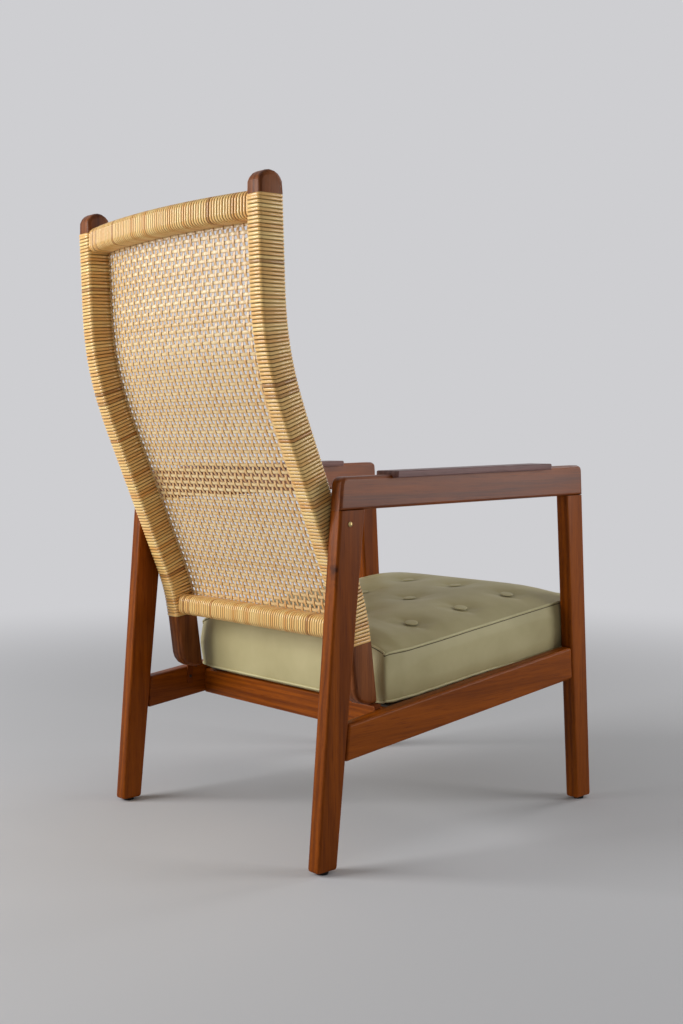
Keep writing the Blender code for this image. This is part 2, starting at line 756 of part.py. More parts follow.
def flat_tilt(before, point, after, axis):
    """Tilt that turns a strand's width from the Z axis to the axis of the bar under it."""
    along = ((point - before).normalized() + (after - point).normalized()).normalized()
    wanted = axis - along * axis.dot(along)
    given = Vector((0, 0, 1)) - along * along.z
    return math.atan2(along.dot(given.cross(wanted)), given.dot(wanted))


def strand(name, points, axes, rotation=(0, 0, 0)):
    """One unbroken flat strand through the points, wound about a bar whose axis is given at each."""
    curve = poly_curve(name, points, False, "3D")
    curve.twist_mode = "Z_UP"
    curve.bevel_mode = "OBJECT"
    curve.bevel_object = STRAND_SECTION
    curve.use_fill_caps = True
    for index in range(1, len(points) - 1):
        tilt = flat_tilt(*points[index - 1:index + 2], axes[index])
        curve.splines[0].points[index].tilt = tilt
    path = np.array(points)
    apart = np.linalg.norm(path[:, None] - path[None, :], axis=2)
    order = np.arange(len(path))
    far = np.abs(order[:, None] - order[None, :]) >= LOOP_POINTS - 1
    print(f"{name}: least gap to itself {1000 * (apart[far].min() - STRAND_WIDTH):.1f} mm")
    place(name, mesh_from_curve(name, curve), CANE, (0, 0, 0), rotation)


def add_stile_bindings():
    marks = [stile_length(z) for z in (BOTTOM_RAIL_Z, BOLT_Z, TOP_RAIL_Z)]
    turns = [0.5, 0.5 + TURNS_RAIL_TO_BOLT, 0.5 + TURNS_RAIL_TO_BOLT + TURNS_BOLT_TO_TOP]
    lower_pitch = (marks[1] - marks[0]) / TURNS_RAIL_TO_BOLT
    upper_pitch = (marks[2] - marks[1]) / TURNS_BOLT_TO_TOP
    low = stile_length(BINDING_LOW_Z) + STRAND_WIDTH
    high = stile_length(BINDING_HIGH_Z) - STRAND_WIDTH
    first = turns[0] - (marks[0] - low) / lower_pitch
    last = turns[2] + (high - marks[2]) / upper_pitch
    lengths = [low] + marks + [high]
    counts = [first] + turns + [last]
    steps = range(math.ceil(first * LOOP_POINTS), math.floor(last * LOOP_POINTS))
    for side, sign in SIDES.items():
        points, axes = [], []
        for step in steps:
            length = np.interp((step + 0.5) / LOOP_POINTS, counts, lengths)
            z = np.interp(length, STILE_LENGTHS, STILE_HEIGHTS)
            inward, rearward = loop_corner(step, CORE_WIDTH / 2, CORE_DEPTH / 2, EDGE_ROUND)
            point = stile_point(length, rearward)
            point.x = sign * (STILE_MIDDLE_X - inward)
            points.append(point)
            axes.append(Vector((0, math.sin(stile_lean(z)), math.cos(stile_lean(z)))))
        strand(f"stile_binding_{side}", points, axes)


def add_rail_bindings():
    reach = BACK_HALF_WIDTH - FIT_GAP - STRAND_WIDTH / 2
    steps = RAIL_TURNS * LOOP_POINTS
    bottom_y = stile_y(BOTTOM_RAIL_Z) - BOTTOM_RAIL_FORWARD
    for name, y, z, height, depth, bowed in (
            ("top_rail_binding", stile_y(TOP_RAIL_Z), TOP_RAIL_Z, TOP_RAIL_HEIGHT, TOP_RAIL_DEPTH, True),
            ("bottom_rail_binding", bottom_y, BOTTOM_RAIL_Z, BOTTOM_RAIL_HEIGHT, BOTTOM_RAIL_DEPTH, False)):
        points, axes = [], []
        for step in range(steps + 1):
            x = lerp(-reach, reach, step / steps)
            up, rearward = loop_corner(step, height / 2, depth / 2, BACK_RAIL_ROUND)
            bend = bow(x) if bowed else 0
            slope = -2 * TOP_RAIL_BOW * x / CORE_INNER_X ** 2 if bowed else 0
            points.append(Vector((-z - up, y + rearward + bend, x)))
            axes.append(Vector((0, slope, 1)).normalized())
        strand(name, points, axes, ALONG_X)


def add_panel():
    rearward = PANEL_SETBACK - CORE_DEPTH / 2
    end_gap = BINDING_BUILD + PANEL_END_GAP
    low_z = BOTTOM_RAIL_Z + BOTTOM_RAIL_HEIGHT / 2 + end_gap
    high_z = TOP_RAIL_Z - TOP_RAIL_HEIGHT / 2 - end_gap
    low, high = [stile_length(z + rearward * math.sin(stile_lean(z))) for z in (low_z, high_z)]
    bm = bmesh.new()
    bmesh.ops.create_grid(bm, x_segments=PANEL_COLUMNS, y_segments=PANEL_ROWS, size=1)
    for vert in bm.verts:
        x = vert.co.x * (BACK_HALF_WIDTH - FIT_GAP)
        share = (vert.co.y + 1) / 2
        point = stile_point(lerp(low, high, share), rearward)
        vert.co = (x, point.y + bow(x) * share ** 2, point.z)
    holes = list(bm.faces)
    bmesh.ops.inset_individual(bm, faces=holes, thickness=PANEL_BAR / 2, use_even_offset=True)
    bmesh.ops.delete(bm, geom=holes, context="FACES")
    mesh = bpy.data.meshes.new("cane_panel")
    bm.to_mesh(mesh)
    bm.free()
    panel = place("cane_panel", mesh, CANE)
    solidify = panel.modifiers.new("Strips", "SOLIDIFY")
    solidify.thickness = PANEL_THICKNESS
    solidify.offset = 0


# Bolts, spacers and brackets that hold the back

def bolt_place(side, x):
    """Location and rotation of a turned piece on a back bolt's axis, facing outward."""
    sign = SIDES[side]
    y = stile_y(BOLT_Z) - CORE_DEPTH / 2 + BOLT_SETBACK
    return (sign * x, y, BOLT_Z), (0, sign * math.pi / 2, 0)


def add_bolts():
    length = SIDE_THICKNESS + SPACER_SPAN + BOLT_BITE
    head, height = BOLT_HEAD_RADIUS, BOLT_HEAD_HEIGHT
    hole = BOLT_RADIUS + FIT_GAP
    thickness = SPACER_SPAN - 2 * FIT_GAP
    bolt = turned("back_bolt", [(0, height), (head * 0.6, height * 0.8), (head, height * 0.3), (head, 0),
                                (BOLT_RADIUS, 0), (BOLT_RADIUS, -length), (0, -length)])
    spacer = turned("stile_spacer", [(SPACER_RADIUS, thickness), (SPACER_RADIUS, 0), (hole, 0),
                                     (hole, thickness)], closed=True)
    insert = turned("bolt_insert", [(INSERT_RADIUS, 0), (INSERT_RADIUS, -INSERT_LENGTH),
                                    (hole, -INSERT_LENGTH), (hole, 0)], closed=True)
    for side in SIDES:
        place(f"back_bolt_{side}", bolt, BRASS, *bolt_place(side, FRAME_WIDTH / 2 + FIT_GAP))
        place(f"stile_spacer_{side}", spacer, STRAP_RUBBER, *bolt_place(side, CORE_OUTER_X + FIT_GAP))
        place(f"bolt_insert_{side}", insert, BRASS, *bolt_place(side, CORE_OUTER_X - FIT_GAP))


BRACKET_Y = STILE_FOOT_Y - STILE_DEPTH / 2 + BRACKET_WIDTH / 2
BRACKET_INNER_X = SIDE_INNER_X - FIT_GAP - BRACKET_THICKNESS
SHELF_UNDER_Z = STILE_FOOT_Z - FIT_GAP - BRACKET_THICKNESS


def rail_screw_place(side):
    sign = SIDES[side]
    location = (sign * (BRACKET_INNER_X - FIT_GAP), BRACKET_Y, STILE_FOOT_Z - RAIL_SCREW_DROP)
    return location, (0, -sign * math.pi / 2, 0)


def foot_screw_place(side):
    return (SIDES[side] * STILE_MIDDLE_X, BRACKET_Y, SHELF_UNDER_Z - FIT_GAP), (math.pi, 0, 0)


def add_brackets():
    outer = SIDE_INNER_X - FIT_GAP
    top = STILE_FOOT_Z - FIT_GAP
    head, height = SCREW_HEAD_RADIUS, SCREW_HEAD_HEIGHT
    screw = turned("bracket_screw", [(0, height), (head * 0.7, height), (head, height * 0.4), (head, 0),
                                     (SCREW_RADIUS, 0), (SCREW_RADIUS, -SCREW_LENGTH), (0, -SCREW_LENGTH)])
    for side, sign in SIDES.items():
        outline = [(outer, top), (outer - BRACKET_SHELF, top), (outer - BRACKET_SHELF, SHELF_UNDER_Z),
                   (BRACKET_INNER_X, SHELF_UNDER_Z), (BRACKET_INNER_X, top - BRACKET_DROP),
                   (outer, top - BRACKET_DROP)]
        name = f"foot_bracket_{side}"
        shape = slab(name, [(sign * x, z) for x, z in outline], BRACKET_WIDTH)
        bracket = place(name, shape, STEEL, (0, BRACKET_Y, 0), FRONT_VIEW)
        cut(bracket, RAIL_SCREW_HOLES[side])
        cut(bracket, FOOT_SCREW_HOLES[side])
        place(f"rail_screw_{side}", screw, STEEL, *rail_screw_place(side))
        place(f"foot_screw_{side}", screw, STEEL, *foot_screw_place(side))


# Glides

def glide_place(end, side):
    foot = GLIDE_HEIGHT
    back, front = LEG_LINES[end]
    return SIDES[side] * SIDE_MIDDLE_X, (back(foot) + front(foot)) / 2, 0


def add_glides():
    rim = GLIDE_RADIUS - GLIDE_HEIGHT / 4
    top = GLIDE_HEIGHT + GLIDE_STEM_LENGTH
    glide = turned("leg_glide", [(0, top), (GLIDE_STEM_RADIUS, top), (GLIDE_STEM_RADIUS, GLIDE_HEIGHT),
                                 (GLIDE_RADIUS, GLIDE_HEIGHT), (rim, 0), (0, 0)], sides=16)
    for end in ENDS:
        for side in SIDES:
            place(f"leg_glide_{end}_{side}", glide, GLIDE_PLASTIC, glide_place(end, side))


# Seat cushion

PIPING_STANDOFF = PIPING_RADIUS + FIT_GAP
PIPING_SHIFT = PIPING_STANDOFF / math.sqrt(2)
PIPING_REACH = PIPING_SHIFT + PIPING_RADIUS
SEAM_HALF_WIDTH = SIDE_INNER_X - CUSHION_SIDE_GAP - PIPING_REACH
SEAM_REAR_Y = CUSHION_REAR_Y - PIPING_REACH
SEAM_FRONT_Y = CUSHION_FRONT_Y + PIPING_REACH
SEAM_MIDDLE_Y = (SEAM_REAR_Y + SEAM_FRONT_Y) / 2
SEAM_HALF_DEPTH = (SEAM_REAR_Y - SEAM_FRONT_Y) / 2


def seam_plan(u, v):
    """Plan of the seam: u and v run from -1 to 1, and the corners are drawn in."""
    draw = CUSHION_CORNER * (u * v) ** 8
    return u * (SEAM_HALF_WIDTH - draw / 3), SEAM_MIDDLE_Y + v * (SEAM_HALF_DEPTH - draw / 3)


def lower_seam(y):
    return rail_top(y) + CUSHION_LIFT


def upper_seam(y):
    share = (CUSHION_REAR_Y - y) / (CUSHION_REAR_Y - CUSHION_FRONT_Y)
    return lower_seam(y) + lerp(CUSHION_REAR_BOXING, CUSHION_FRONT_BOXING, share)


def button_grid():
    return [((2 * i + 1) / BUTTON_COLUMNS - 1, 2 * (j + 1) / (BUTTON_ROWS + 1) - 1)
            for i in range(BUTTON_COLUMNS) for j in range(BUTTON_ROWS)]


def cushion_top(u, v):
    x, y = seam_plan(u, v)
    height = upper_seam(y) + CUSHION_CROWN * (1 - u ** 6) * (1 - v ** 6)
    for column, row in button_grid():
        tuft_x, tuft_y = seam_plan(column, row)
        height -= TUFT_DEPTH * math.exp(-((x - tuft_x) ** 2 + (y - tuft_y) ** 2) / TUFT_REACH ** 2)
    return Vector((x, y, height))


def cushion_bottom(u, v):
    x, y = seam_plan(u, v)
    strap_top = cross_top(y) + FIT_GAP + STRAP_THICKNESS
    sag = lower_seam(y) - strap_top - FIT_GAP
    return Vector((x, y, lower_seam(y) - sag * (1 - u ** 6) * (1 - v ** 6)))


def cushion_point(u, v, w):
    """Point of the cushion's skin: w is -1 on the bottom, 0 halfway up the boxing and 1 on the top."""
    if w > 0.5:
        return cushion_top(u, v)
    if w < -0.5:
        return cushion_bottom(u, v)
    x, y = seam_plan(u, v)
    out = Vector((u ** 15, v ** 15, 0))
    return Vector((x, y, (lower_seam(y) + upper_seam(y)) / 2)) + out * CUSHION_BULGE


def add_cushion():
    bm = bmesh.new()
    bmesh.ops.create_cube(bm, size=2)
    for axis, count in enumerate((CUSHION_COLUMNS, CUSHION_ROWS, 2)):
        along = [edge for edge in bm.edges if abs((edge.verts[0].co - edge.verts[1].co)[axis]) > 1]
        bmesh.ops.subdivide_edges(bm, edges=along, cuts=count - 1, use_grid_fill=True)
    for vert in bm.verts:
        vert.co = cushion_point(*vert.co) - CUSHION.location
    mesh = bpy.data.meshes.new("seat_cushion")
    bm.to_mesh(mesh)
    bm.free()
    mesh.shade_smooth()
    place("seat_cushion", mesh, LEATHER, parent=CUSHION)


def seam_ring():
    """The seam's points as (u, v): dense at the corners, where the plan is drawn in."""
    near = [0.6, 0.75, 0.875]
    side = [-1] + [-share for share in reversed(near)] + near
    ring = [(u, -1) for u in side] + [(1, v) for v in side]
    return ring + [(-u, 1) for u in side] + [(-1, -v) for v in side]


def add_piping():
    for name, seam, up in (("cushion_piping_top", upper_seam, 1),
                           ("cushion_piping_bottom", lower_seam, -1)):
        points = []
        for u, v in seam_ring():
            x, y = seam_plan(u, v)
            out = Vector((u ** 15, v ** 15, 0)).normalized()
            point = Vector((x, y, seam(y) + up * PIPING_SHIFT)) + out * PIPING_SHIFT
            points.append(point - CUSHION.location)
        curve = poly_curve(name, points, True, "3D")
        curve.bevel_depth = PIPING_RADIUS
        curve.bevel_resolution = 1
        place(name, mesh_from_curve(name, curve), LEATHER, parent=CUSHION)


def button_seat(u, v):
    """Bottom of a tuft, the direction square to the skin there, and the skin's steepest rise round it."""
    du, dv = 2 / CUSHION_COLUMNS, 2 / CUSHION_ROWS
    across = cushion_top(u + du, v) - cushion_top(u - du, v)
    along = cushion_top(u, v + dv) - cushion_top(u, v - dv)
    normal = across.cross(along).normalized()
    seat = cushion_top(u, v)
    steepest = 0
    for i, j in ((1, 0), (1, 1), (0, 1), (-1, 1), (-1, 0), (-1, -1), (0, -1), (1, -1)):
        step = cushion_top(u + i * du, v + j * dv) - seat
        rise = step.dot(normal)
        steepest = max(steepest, math.sqrt(2) * rise / (step - normal * rise).length)
    return seat, normal, steepest


def add_buttons():
    """Covered buttons: each is seated in its tuft by a coned underside."""
    seats = [button_seat(u, v) for u, v in button_grid()]
    rim = BUTTON_RADIUS * max(steepest for seat, normal, steepest in seats)
    shoulder = (BUTTON_RADIUS * 0.7, rim + BUTTON_DOME * 0.7)
    profile = [(0, rim + BUTTON_DOME), shoulder, (BUTTON_RADIUS, rim), (0, 0)]
    button = turned("cushion_button", profile, sides=10)
    for index, (seat, normal, steepest) in enumerate(seats):
        place(f"cushion_button_{index + 1:02d}", button, LEATHER,
              seat + normal * FIT_GAP - CUSHION.location, normal.to_track_quat("Z", "Y").to_euler(), CUSHION)


def centre_on_floor():
    """Move the chair so that its origin is at the bottom centre of its box."""
    graph = bpy.context.evaluated_depsgraph_get()
    low, high = math.inf, -math.inf
    for obj in PARTS.objects:
        if obj.type == "MESH":
            shape = obj.evaluated_get(graph)
            ys = [(shape.matrix_world @ vert.co).y for vert in shape.data.vertices]
            low, high = min(low, *ys), max(high, *ys)
    ROOT.location.y = -(low + high) / 2


clear_scene()
PARTS = new_collection("lounge_chair")
CUTTERS = new_collection("cutters")
ROOT = new_empty("chair_frame", (0, 0, 0), None)
CUSHION = new_empty("cushion_slide", (0, SEAM_MIDDLE_Y, lower_seam(SEAM_MIDDLE_Y)), ROOT)

FRAME_WOOD = material("frame_wood", (0.235, 0.075, 0.018), 0.38)
STILE_WOOD = material("stile_wood", (0.115, 0.042, 0.016), 0.40)
PLATE_WOOD = material("plate_wood", (0.035, 0.018, 0.015), 0.35)
SPLINE_WOOD = material("spline_wood", (0.45, 0.28, 0.13), 0.6)
CANE = material("cane", (0.66, 0.45, 0.20), 0.45)
LEATHER = material("leather", (0.36, 0.32, 0.18), 0.42)
STRAP_RUBBER = material("strap_rubber", (0.05, 0.04, 0.035), 0.8)
GLIDE_PLASTIC = material("glide_plastic", (0.015, 0.015, 0.015), 0.5)
STEEL = material("steel", (0.06, 0.055, 0.05), 0.45, 1.0)
BRASS = material("brass", (0.6, 0.5, 0.32), 0.3, 1.0)

STRAND_A, STRAND_B = STRAND_THICKNESS / 2, STRAND_WIDTH / 2
STRAND_OUTLINE = poly_curve("strand_section", [
    (-STRAND_A, -STRAND_B, 0), (STRAND_A, -STRAND_B, 0), (STRAND_A, STRAND_B, 0), (-STRAND_A, STRAND_B, 0)],
    True, "2D")
STRAND_SECTION = bpy.data.objects.new("strand_section", STRAND_OUTLINE)
STRAND_SECTION.data.fill_mode = "NONE"
STRAND_SECTION.hide_render = True
STRAND_SECTION.display_type = "WIRE"
CUTTERS.objects.link(STRAND_SECTION)

LEG_TENONS = {(end, side): leg_tenon(end, side) for end in ENDS for side in SIDES}
RAIL_TENONS = {(end, side): rail_tenon(end, side) for end in ENDS for side in SIDES}
CROSS_TENONS = {(end, side): cross_tenon(end, side) for end in ENDS for side in SIDES}
TOP_TENONS = {side: back_tenon("back_top_rail", side, TOP_RAIL_Z) for side in SIDES}
BOTTOM_TENONS = {side: back_tenon("back_bottom_rail", side, BOTTOM_RAIL_Z) for side in SIDES}
GLIDE_HOLES = {(end, side): turned_hole(
    f"glide_hole_{end}_{side}", GLIDE_STEM_RADIUS + FIT_GAP, GLIDE_HEIGHT + GLIDE_STEM_LENGTH + FIT_GAP, 0,
    glide_place(end, side), (0, 0, 0)) for end in ENDS for side in SIDES}
BOLT_HOLES = {side: turned_hole(
    f"bolt_hole_{side}", BOLT_RADIUS + FIT_GAP, SIDE_THICKNESS, -SIDE_THICKNESS,
    *bolt_place(side, SIDE_MIDDLE_X)) for side in SIDES}
INSERT_HOLES = {side: turned_hole(
    f"insert_hole_{side}", INSERT_RADIUS + FIT_GAP, SPACER_SPAN, -max(INSERT_LENGTH, BOLT_BITE) - 2 * FIT_GAP,
    *bolt_place(side, CORE_OUTER_X)) for side in SIDES}
RAIL_SCREW_HOLES = {side: turned_hole(
    f"rail_screw_hole_{side}", SCREW_RADIUS + FIT_GAP, SCREW_HEAD_HEIGHT, -SCREW_LENGTH - FIT_GAP,
    *rail_screw_place(side)) for side in SIDES}
FOOT_SCREW_HOLES = {side: turned_hole(
    f"foot_screw_hole_{side}", SCREW_RADIUS + FIT_GAP, SCREW_HEAD_HEIGHT, -SCREW_LENGTH - FIT_GAP,
    *foot_screw_place(side)) for side in SIDES}

add_legs()
add_arms()
add_arm_plates()
add_side_rails()
add_cross_rails()
add_seat_straps()
add_stiles()
add_back_rails()
add_stile_bindings()
add_rail_bindings()
add_panel()
add_bolts()
add_brackets()
add_glides()
add_cushion()
add_piping()
add_buttons()
centre_on_floor()
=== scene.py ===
import math
import bpy
import numpy as np
from mathutils import Matrix, Vector
from mathutils.bvhtree import BVHTree


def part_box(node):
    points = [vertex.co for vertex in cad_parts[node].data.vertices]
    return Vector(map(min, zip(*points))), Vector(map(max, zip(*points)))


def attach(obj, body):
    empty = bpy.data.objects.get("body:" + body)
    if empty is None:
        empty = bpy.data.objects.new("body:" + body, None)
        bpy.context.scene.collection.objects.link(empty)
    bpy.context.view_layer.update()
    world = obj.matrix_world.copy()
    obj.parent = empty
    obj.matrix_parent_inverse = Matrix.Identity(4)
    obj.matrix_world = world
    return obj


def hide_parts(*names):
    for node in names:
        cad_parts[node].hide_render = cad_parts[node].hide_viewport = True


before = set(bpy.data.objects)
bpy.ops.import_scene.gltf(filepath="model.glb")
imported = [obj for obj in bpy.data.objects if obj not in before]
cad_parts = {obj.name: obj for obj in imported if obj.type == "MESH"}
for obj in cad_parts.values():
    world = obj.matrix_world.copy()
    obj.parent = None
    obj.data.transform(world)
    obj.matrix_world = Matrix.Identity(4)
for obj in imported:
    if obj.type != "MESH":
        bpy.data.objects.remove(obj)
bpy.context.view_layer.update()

# The studio: a plain pale floor that fades into the background, a soft lamp behind the chair and one
# at its right side, each where the flat faces mirror it, and a small one in front that the rounded
# edges mirror. The camera stands where the photograph was taken from.
PHOTO_HEIGHT, PHOTO_FOCAL = 1024, 1267.1
CAMERA_PLACE = (-1.7765, 1.5639, 0.6781)
CAMERA_HEADING, CAMERA_TILT = math.radians(131.754), math.radians(-3.03)
LAMPS_FACE = Vector((0, 0, 0.55))
AMBIENT_STRENGTH = 0.20
FLOOR_SIZE, FADE_FROM, FADE_TO = 24, 0.9, 3.2
scene = bpy.context.scene
scene.view_settings.view_transform = "Standard"


def set_input(tree, socket, value):
    """Give an input its value, or link it where the value is another node's output."""
    if isinstance(value, bpy.types.NodeSocket):
        tree.links.new(value, socket)
    else:
        socket.default_value = value


def add_node(tree, kind, **values):
    """Add a node. Names with a capital letter set or link its inputs, and the others are its settings."""
    node = tree.nodes.new("ShaderNode" + kind)
    for name, value in values.items():
        if name[0].isupper():
            set_input(tree, node.inputs[name.replace("_", " ")], value)
        else:
            setattr(node, name, value)
    return node


def calculate(tree, operation, *values):
    """Result of a sum on one or two values."""
    node = add_node(tree, "Math", operation=operation)
    for socket, value in zip(node.inputs, values):
        set_input(tree, socket, value)
    return node.outputs["Value"]


def linear(*screen):
    """Colour for a shader from one given as it looks on a screen, from 0 to 255."""
    shares = [c / 255 for c in screen]
    return tuple(c / 12.92 if c < 0.04 else ((c + 0.055) / 1.055) ** 2.4 for c in shares) + (1,)


def new_finish(name, **values):
    """New material and its node tree, with the named inputs of its shader set."""
    finish = bpy.data.materials.new(name)
    finish.use_nodes = True
    shader = finish.node_tree.nodes["Principled BSDF"]
    for given, value in values.items():
        shader.inputs[given.replace("_", " ")].default_value = value
    return finish, finish.node_tree


def seen_directly(tree):
    """Share of rays that show the background itself: from the camera, or mirrored, or through glass."""
    ray = add_node(tree, "LightPath").outputs
    mirrored = calculate(tree, "MAXIMUM", ray["Is Camera Ray"], ray["Is Glossy Ray"])
    return calculate(tree, "MAXIMUM", mirrored, ray["Is Transmission Ray"])


def show_instead(tree, share, lit, shown, output):
    """Put the plain background in place of what the lamps light, for a share of the rays."""
    choose = add_node(tree, "MixShader", Fac=share)
    tree.links.new(lit, choose.inputs[1])
    tree.links.new(shown, choose.inputs[2])
    tree.links.new(choose.outputs["Shader"], tree.nodes[output].inputs["Surface"])


ahead = Vector((math.sin(CAMERA_HEADING), math.cos(CAMERA_HEADING), math.tan(CAMERA_TILT)))
bpy.ops.object.camera_add(location=CAMERA_PLACE, rotation=ahead.to_track_quat("-Z", "Y").to_euler())
scene.camera = bpy.context.object
scene.camera.data.lens = PHOTO_FOCAL / PHOTO_HEIGHT * scene.camera.data.sensor_width

for lamp_name, lamp_place, lamp_size, lamp_power in (
        ("rear_softbox", (1.5, 2.7, 1.5), 1.9, 96),
        ("right_softbox", (-2.6, -2.2, 1.1), 1.4, 41),
        ("front_lamp", (-0.45, -2.0, 1.95), 0.7, 9)):
    to_seat = LAMPS_FACE - Vector(lamp_place)
    bpy.ops.object.light_add(type="AREA", location=lamp_place,
                             rotation=to_seat.to_track_quat("-Z", "Y").to_euler())
    lamp = bpy.context.object
    lamp.name = lamp_name
    lamp.visible_camera = False
    lamp.data.size = lamp_size
    lamp.data.energy = lamp_power

BACKGROUND, FLOOR_GREY = linear(206, 206, 209), linear(206, 206, 208)
world = bpy.data.worlds.new("studio")
scene.world = world
world.use_nodes = True
tree = world.node_tree
ambient = tree.nodes["Background"]
ambient.inputs["Color"].default_value = (1, 1, 1, 1)
ambient.inputs["Strength"].default_value = AMBIENT_STRENGTH
shown = add_node(tree, "Background", Color=BACKGROUND, Strength=1)
show_instead(tree, seen_directly(tree), ambient.outputs["Background"], shown.outputs["Background"],
             "World Output")

bpy.ops.object.select_all(action="DESELECT")
bpy.ops.mesh.primitive_plane_add(size=FLOOR_SIZE)
floor = bpy.context.object
floor.name = "floor"
floor_paint, tree = new_finish("floor_paint", Base_Color=FLOOR_GREY, Roughness=0.9, Specular_IOR_Level=0.1)
glow = add_node(tree, "Emission", Color=BACKGROUND, Strength=1)
spot = add_node(tree, "TexCoord")
distance = add_node(tree, "VectorMath", operation="LENGTH", Vector=spot.outputs["Object"])
fade = add_node(tree, "MapRange", interpolation_type="SMOOTHSTEP", Value=distance.outputs["Value"],
                From_Min=FADE_FROM, From_Max=FADE_TO)
faded = calculate(tree, "MULTIPLY", fade.outputs["Result"], seen_directly(tree))
show_instead(tree, faded, tree.nodes["Principled BSDF"].outputs["BSDF"], glow.outputs["Emission"],
             "Material Output")
floor.data.materials.append(floor_paint)

# Legs, arms, side rails and cross rails: solid oiled hardwood, orange brown, with long straight grain.
# Each is sawn along its own length, so the figure runs that way and starts at another place in each.
# The right rear leg has a small knot on its outer face, and hands have polished the arms.
FRAME_DARK, FRAME_LIGHT = linear(86, 36, 2), linear(158, 80, 8)
PORE_SHADE = (0.62, 0.55, 0.5, 1)
FRAME_SHINE, ARM_SHINE = 0.07, 0.24
KNOT_DARK = linear(52, 20, 6)
KNOT_PLACE, KNOT_SIZE, KNOT_STRENGTH = (-0.297, 0.253, 0.483), (0.02, 0.0042, 0.0090), 0.9
STREAK_SIZE, STREAK_STRENGTH = (0.02, 0.0030, 0.050), 0.45
GRAIN_TURN = {"x": (0, -math.pi / 2, 0), "y": (math.pi / 2, 0, 0), "z": (0, 0, 0)}
GRAIN_SHIFT = (0.37, 0.11, 0.23)
BAND_STRETCH, LINE_STRETCH, PORE_STRETCH = 0.06, 0.018, 0.025
EDGE_ANGLE, FACE_WEIGHT = math.radians(50), 80
SAME_POINT = 1e-5


def new_group(name, inputs, outputs):
    """New node group, with what is given to it and what it results in, by the names and kinds listed."""
    group = bpy.data.node_groups.new(name, "ShaderNodeTree")
    for way, sockets in (("INPUT", inputs), ("OUTPUT", outputs)):
        for socket, kind in sockets.items():
            group.interface.new_socket(socket, in_out=way, socket_type="NodeSocket" + kind)
    return group, group.nodes.new("NodeGroupInput").outputs, group.nodes.new("NodeGroupOutput").inputs


def mix_values(tree, share, first, second):
    """Value between two, by a share."""
    node = add_node(tree, "Mix", Factor=share)
    set_input(tree, node.inputs[2], first)
    set_input(tree, node.inputs[3], second)
    return node.outputs[0]


def mix_colours(tree, share, first, second, blend_type="MIX"):
    """Colour mixed of two, by a share."""
    node = add_node(tree, "Mix", data_type="RGBA", blend_type=blend_type, Factor=share)
    set_input(tree, node.inputs[6], first)
    set_input(tree, node.inputs[7], second)
    return node.outputs[2]


def make_wood_figure():
    """Node group: grain bands, fine lines, pores and slow changes of tone, along Z of the place given."""
    group, given, result = new_group("wood_figure", {"Place": "Vector", "Dark": "Color", "Light": "Color"},
                                     {"Color": "Color", "Roughness": "Float", "Pores": "Float"})
    long_way, line_way, pore_way = (
        add_node(group, "Mapping", Vector=given["Place"], Scale=(1, 1, stretch)).outputs["Vector"]
        for stretch in (BAND_STRETCH, LINE_STRETCH, PORE_STRETCH))
    bands = add_node(group, "TexWave", Vector=long_way, Scale=26, Distortion=7, Detail=3, Detail_Scale=1.1)
    cloud = add_node(group, "TexNoise", Vector=long_way, Scale=42, Detail=5, Roughness=0.6, Distortion=0.4)
    lines = add_node(group, "TexNoise", Vector=line_way, Scale=330, Detail=3, Roughness=0.6)
    pores = add_node(group, "TexNoise", Vector=pore_way, Scale=1100, Detail=2, Roughness=0.5)
    pore_cut = add_node(group, "MapRange", Value=pores.outputs["Fac"], From_Min=0.56, From_Max=0.70)
    figure = mix_values(group, 0.76, bands.outputs["Fac"], cloud.outputs["Fac"])
    lined = mix_values(group, 0.34, figure, lines.outputs["Fac"])
    spread = add_node(group, "MapRange", Value=lined, From_Min=0.26, From_Max=0.74)
    tone = mix_colours(group, spread.outputs["Result"], given["Dark"], given["Light"])
    pore_dark = mix_colours(group, pore_cut.outputs["Result"], (1, 1, 1, 1), PORE_SHADE)
    gloss = add_node(group, "MapRange", Value=cloud.outputs["Fac"], To_Min=0.34, To_Max=0.50)
    group.links.new(mix_colours(group, 1, tone, pore_dark, "MULTIPLY"), result["Color"])
    group.links.new(gloss.outputs["Result"], result["Roughness"])
    group.links.new(pore_cut.outputs["Result"], result["Pores"])
    return group


def place_group(tree, group, values, **mapping):
    """Lay a node group over a piece's own coordinates, and give its colour and roughness to the shader."""
    place = add_node(tree, "TexCoord").outputs["Object"]
    if mapping:
        place = add_node(tree, "Mapping", Vector=place, **mapping).outputs["Vector"]
    node = tree.nodes.new("ShaderNodeGroup")
    node.node_tree = group
    for name, value in {"Place": place, **values}.items():
        set_input(tree, node.inputs[name], value)
    shader = tree.nodes["Principled BSDF"]
    tree.links.new(node.outputs["Color"], shader.inputs["Base Color"])
    tree.links.new(node.outputs["Roughness"], shader.inputs["Roughness"])
    return node


def add_relief(tree, height, strength, distance, invert=False):
    """Fine relief on a material, from a height that changes over the surface."""
    relief = add_node(tree, "Bump", invert=invert, Strength=strength, Distance=distance, Height=height)
    tree.links.new(relief.outputs["Normal"], tree.nodes["Principled BSDF"].inputs["Normal"])


wood_figure = make_wood_figure()


def saw_wood(name, along, offset, dark, light, shine=0.10):
    """Material for one board, with its grain along one axis."""
    sheened_wood, tree = new_finish(name, Specular_IOR_Level=shine, Coat_Weight=0.08, Coat_Roughness=0.20)
    figure = place_group(tree, wood_figure, {"Dark": dark, "Light": light},
                         Location=offset, Rotation=GRAIN_TURN[along])
    add_relief(tree, figure.outputs["Pores"], strength=0.22, distance=0.0002, invert=True)
    return sheened_wood


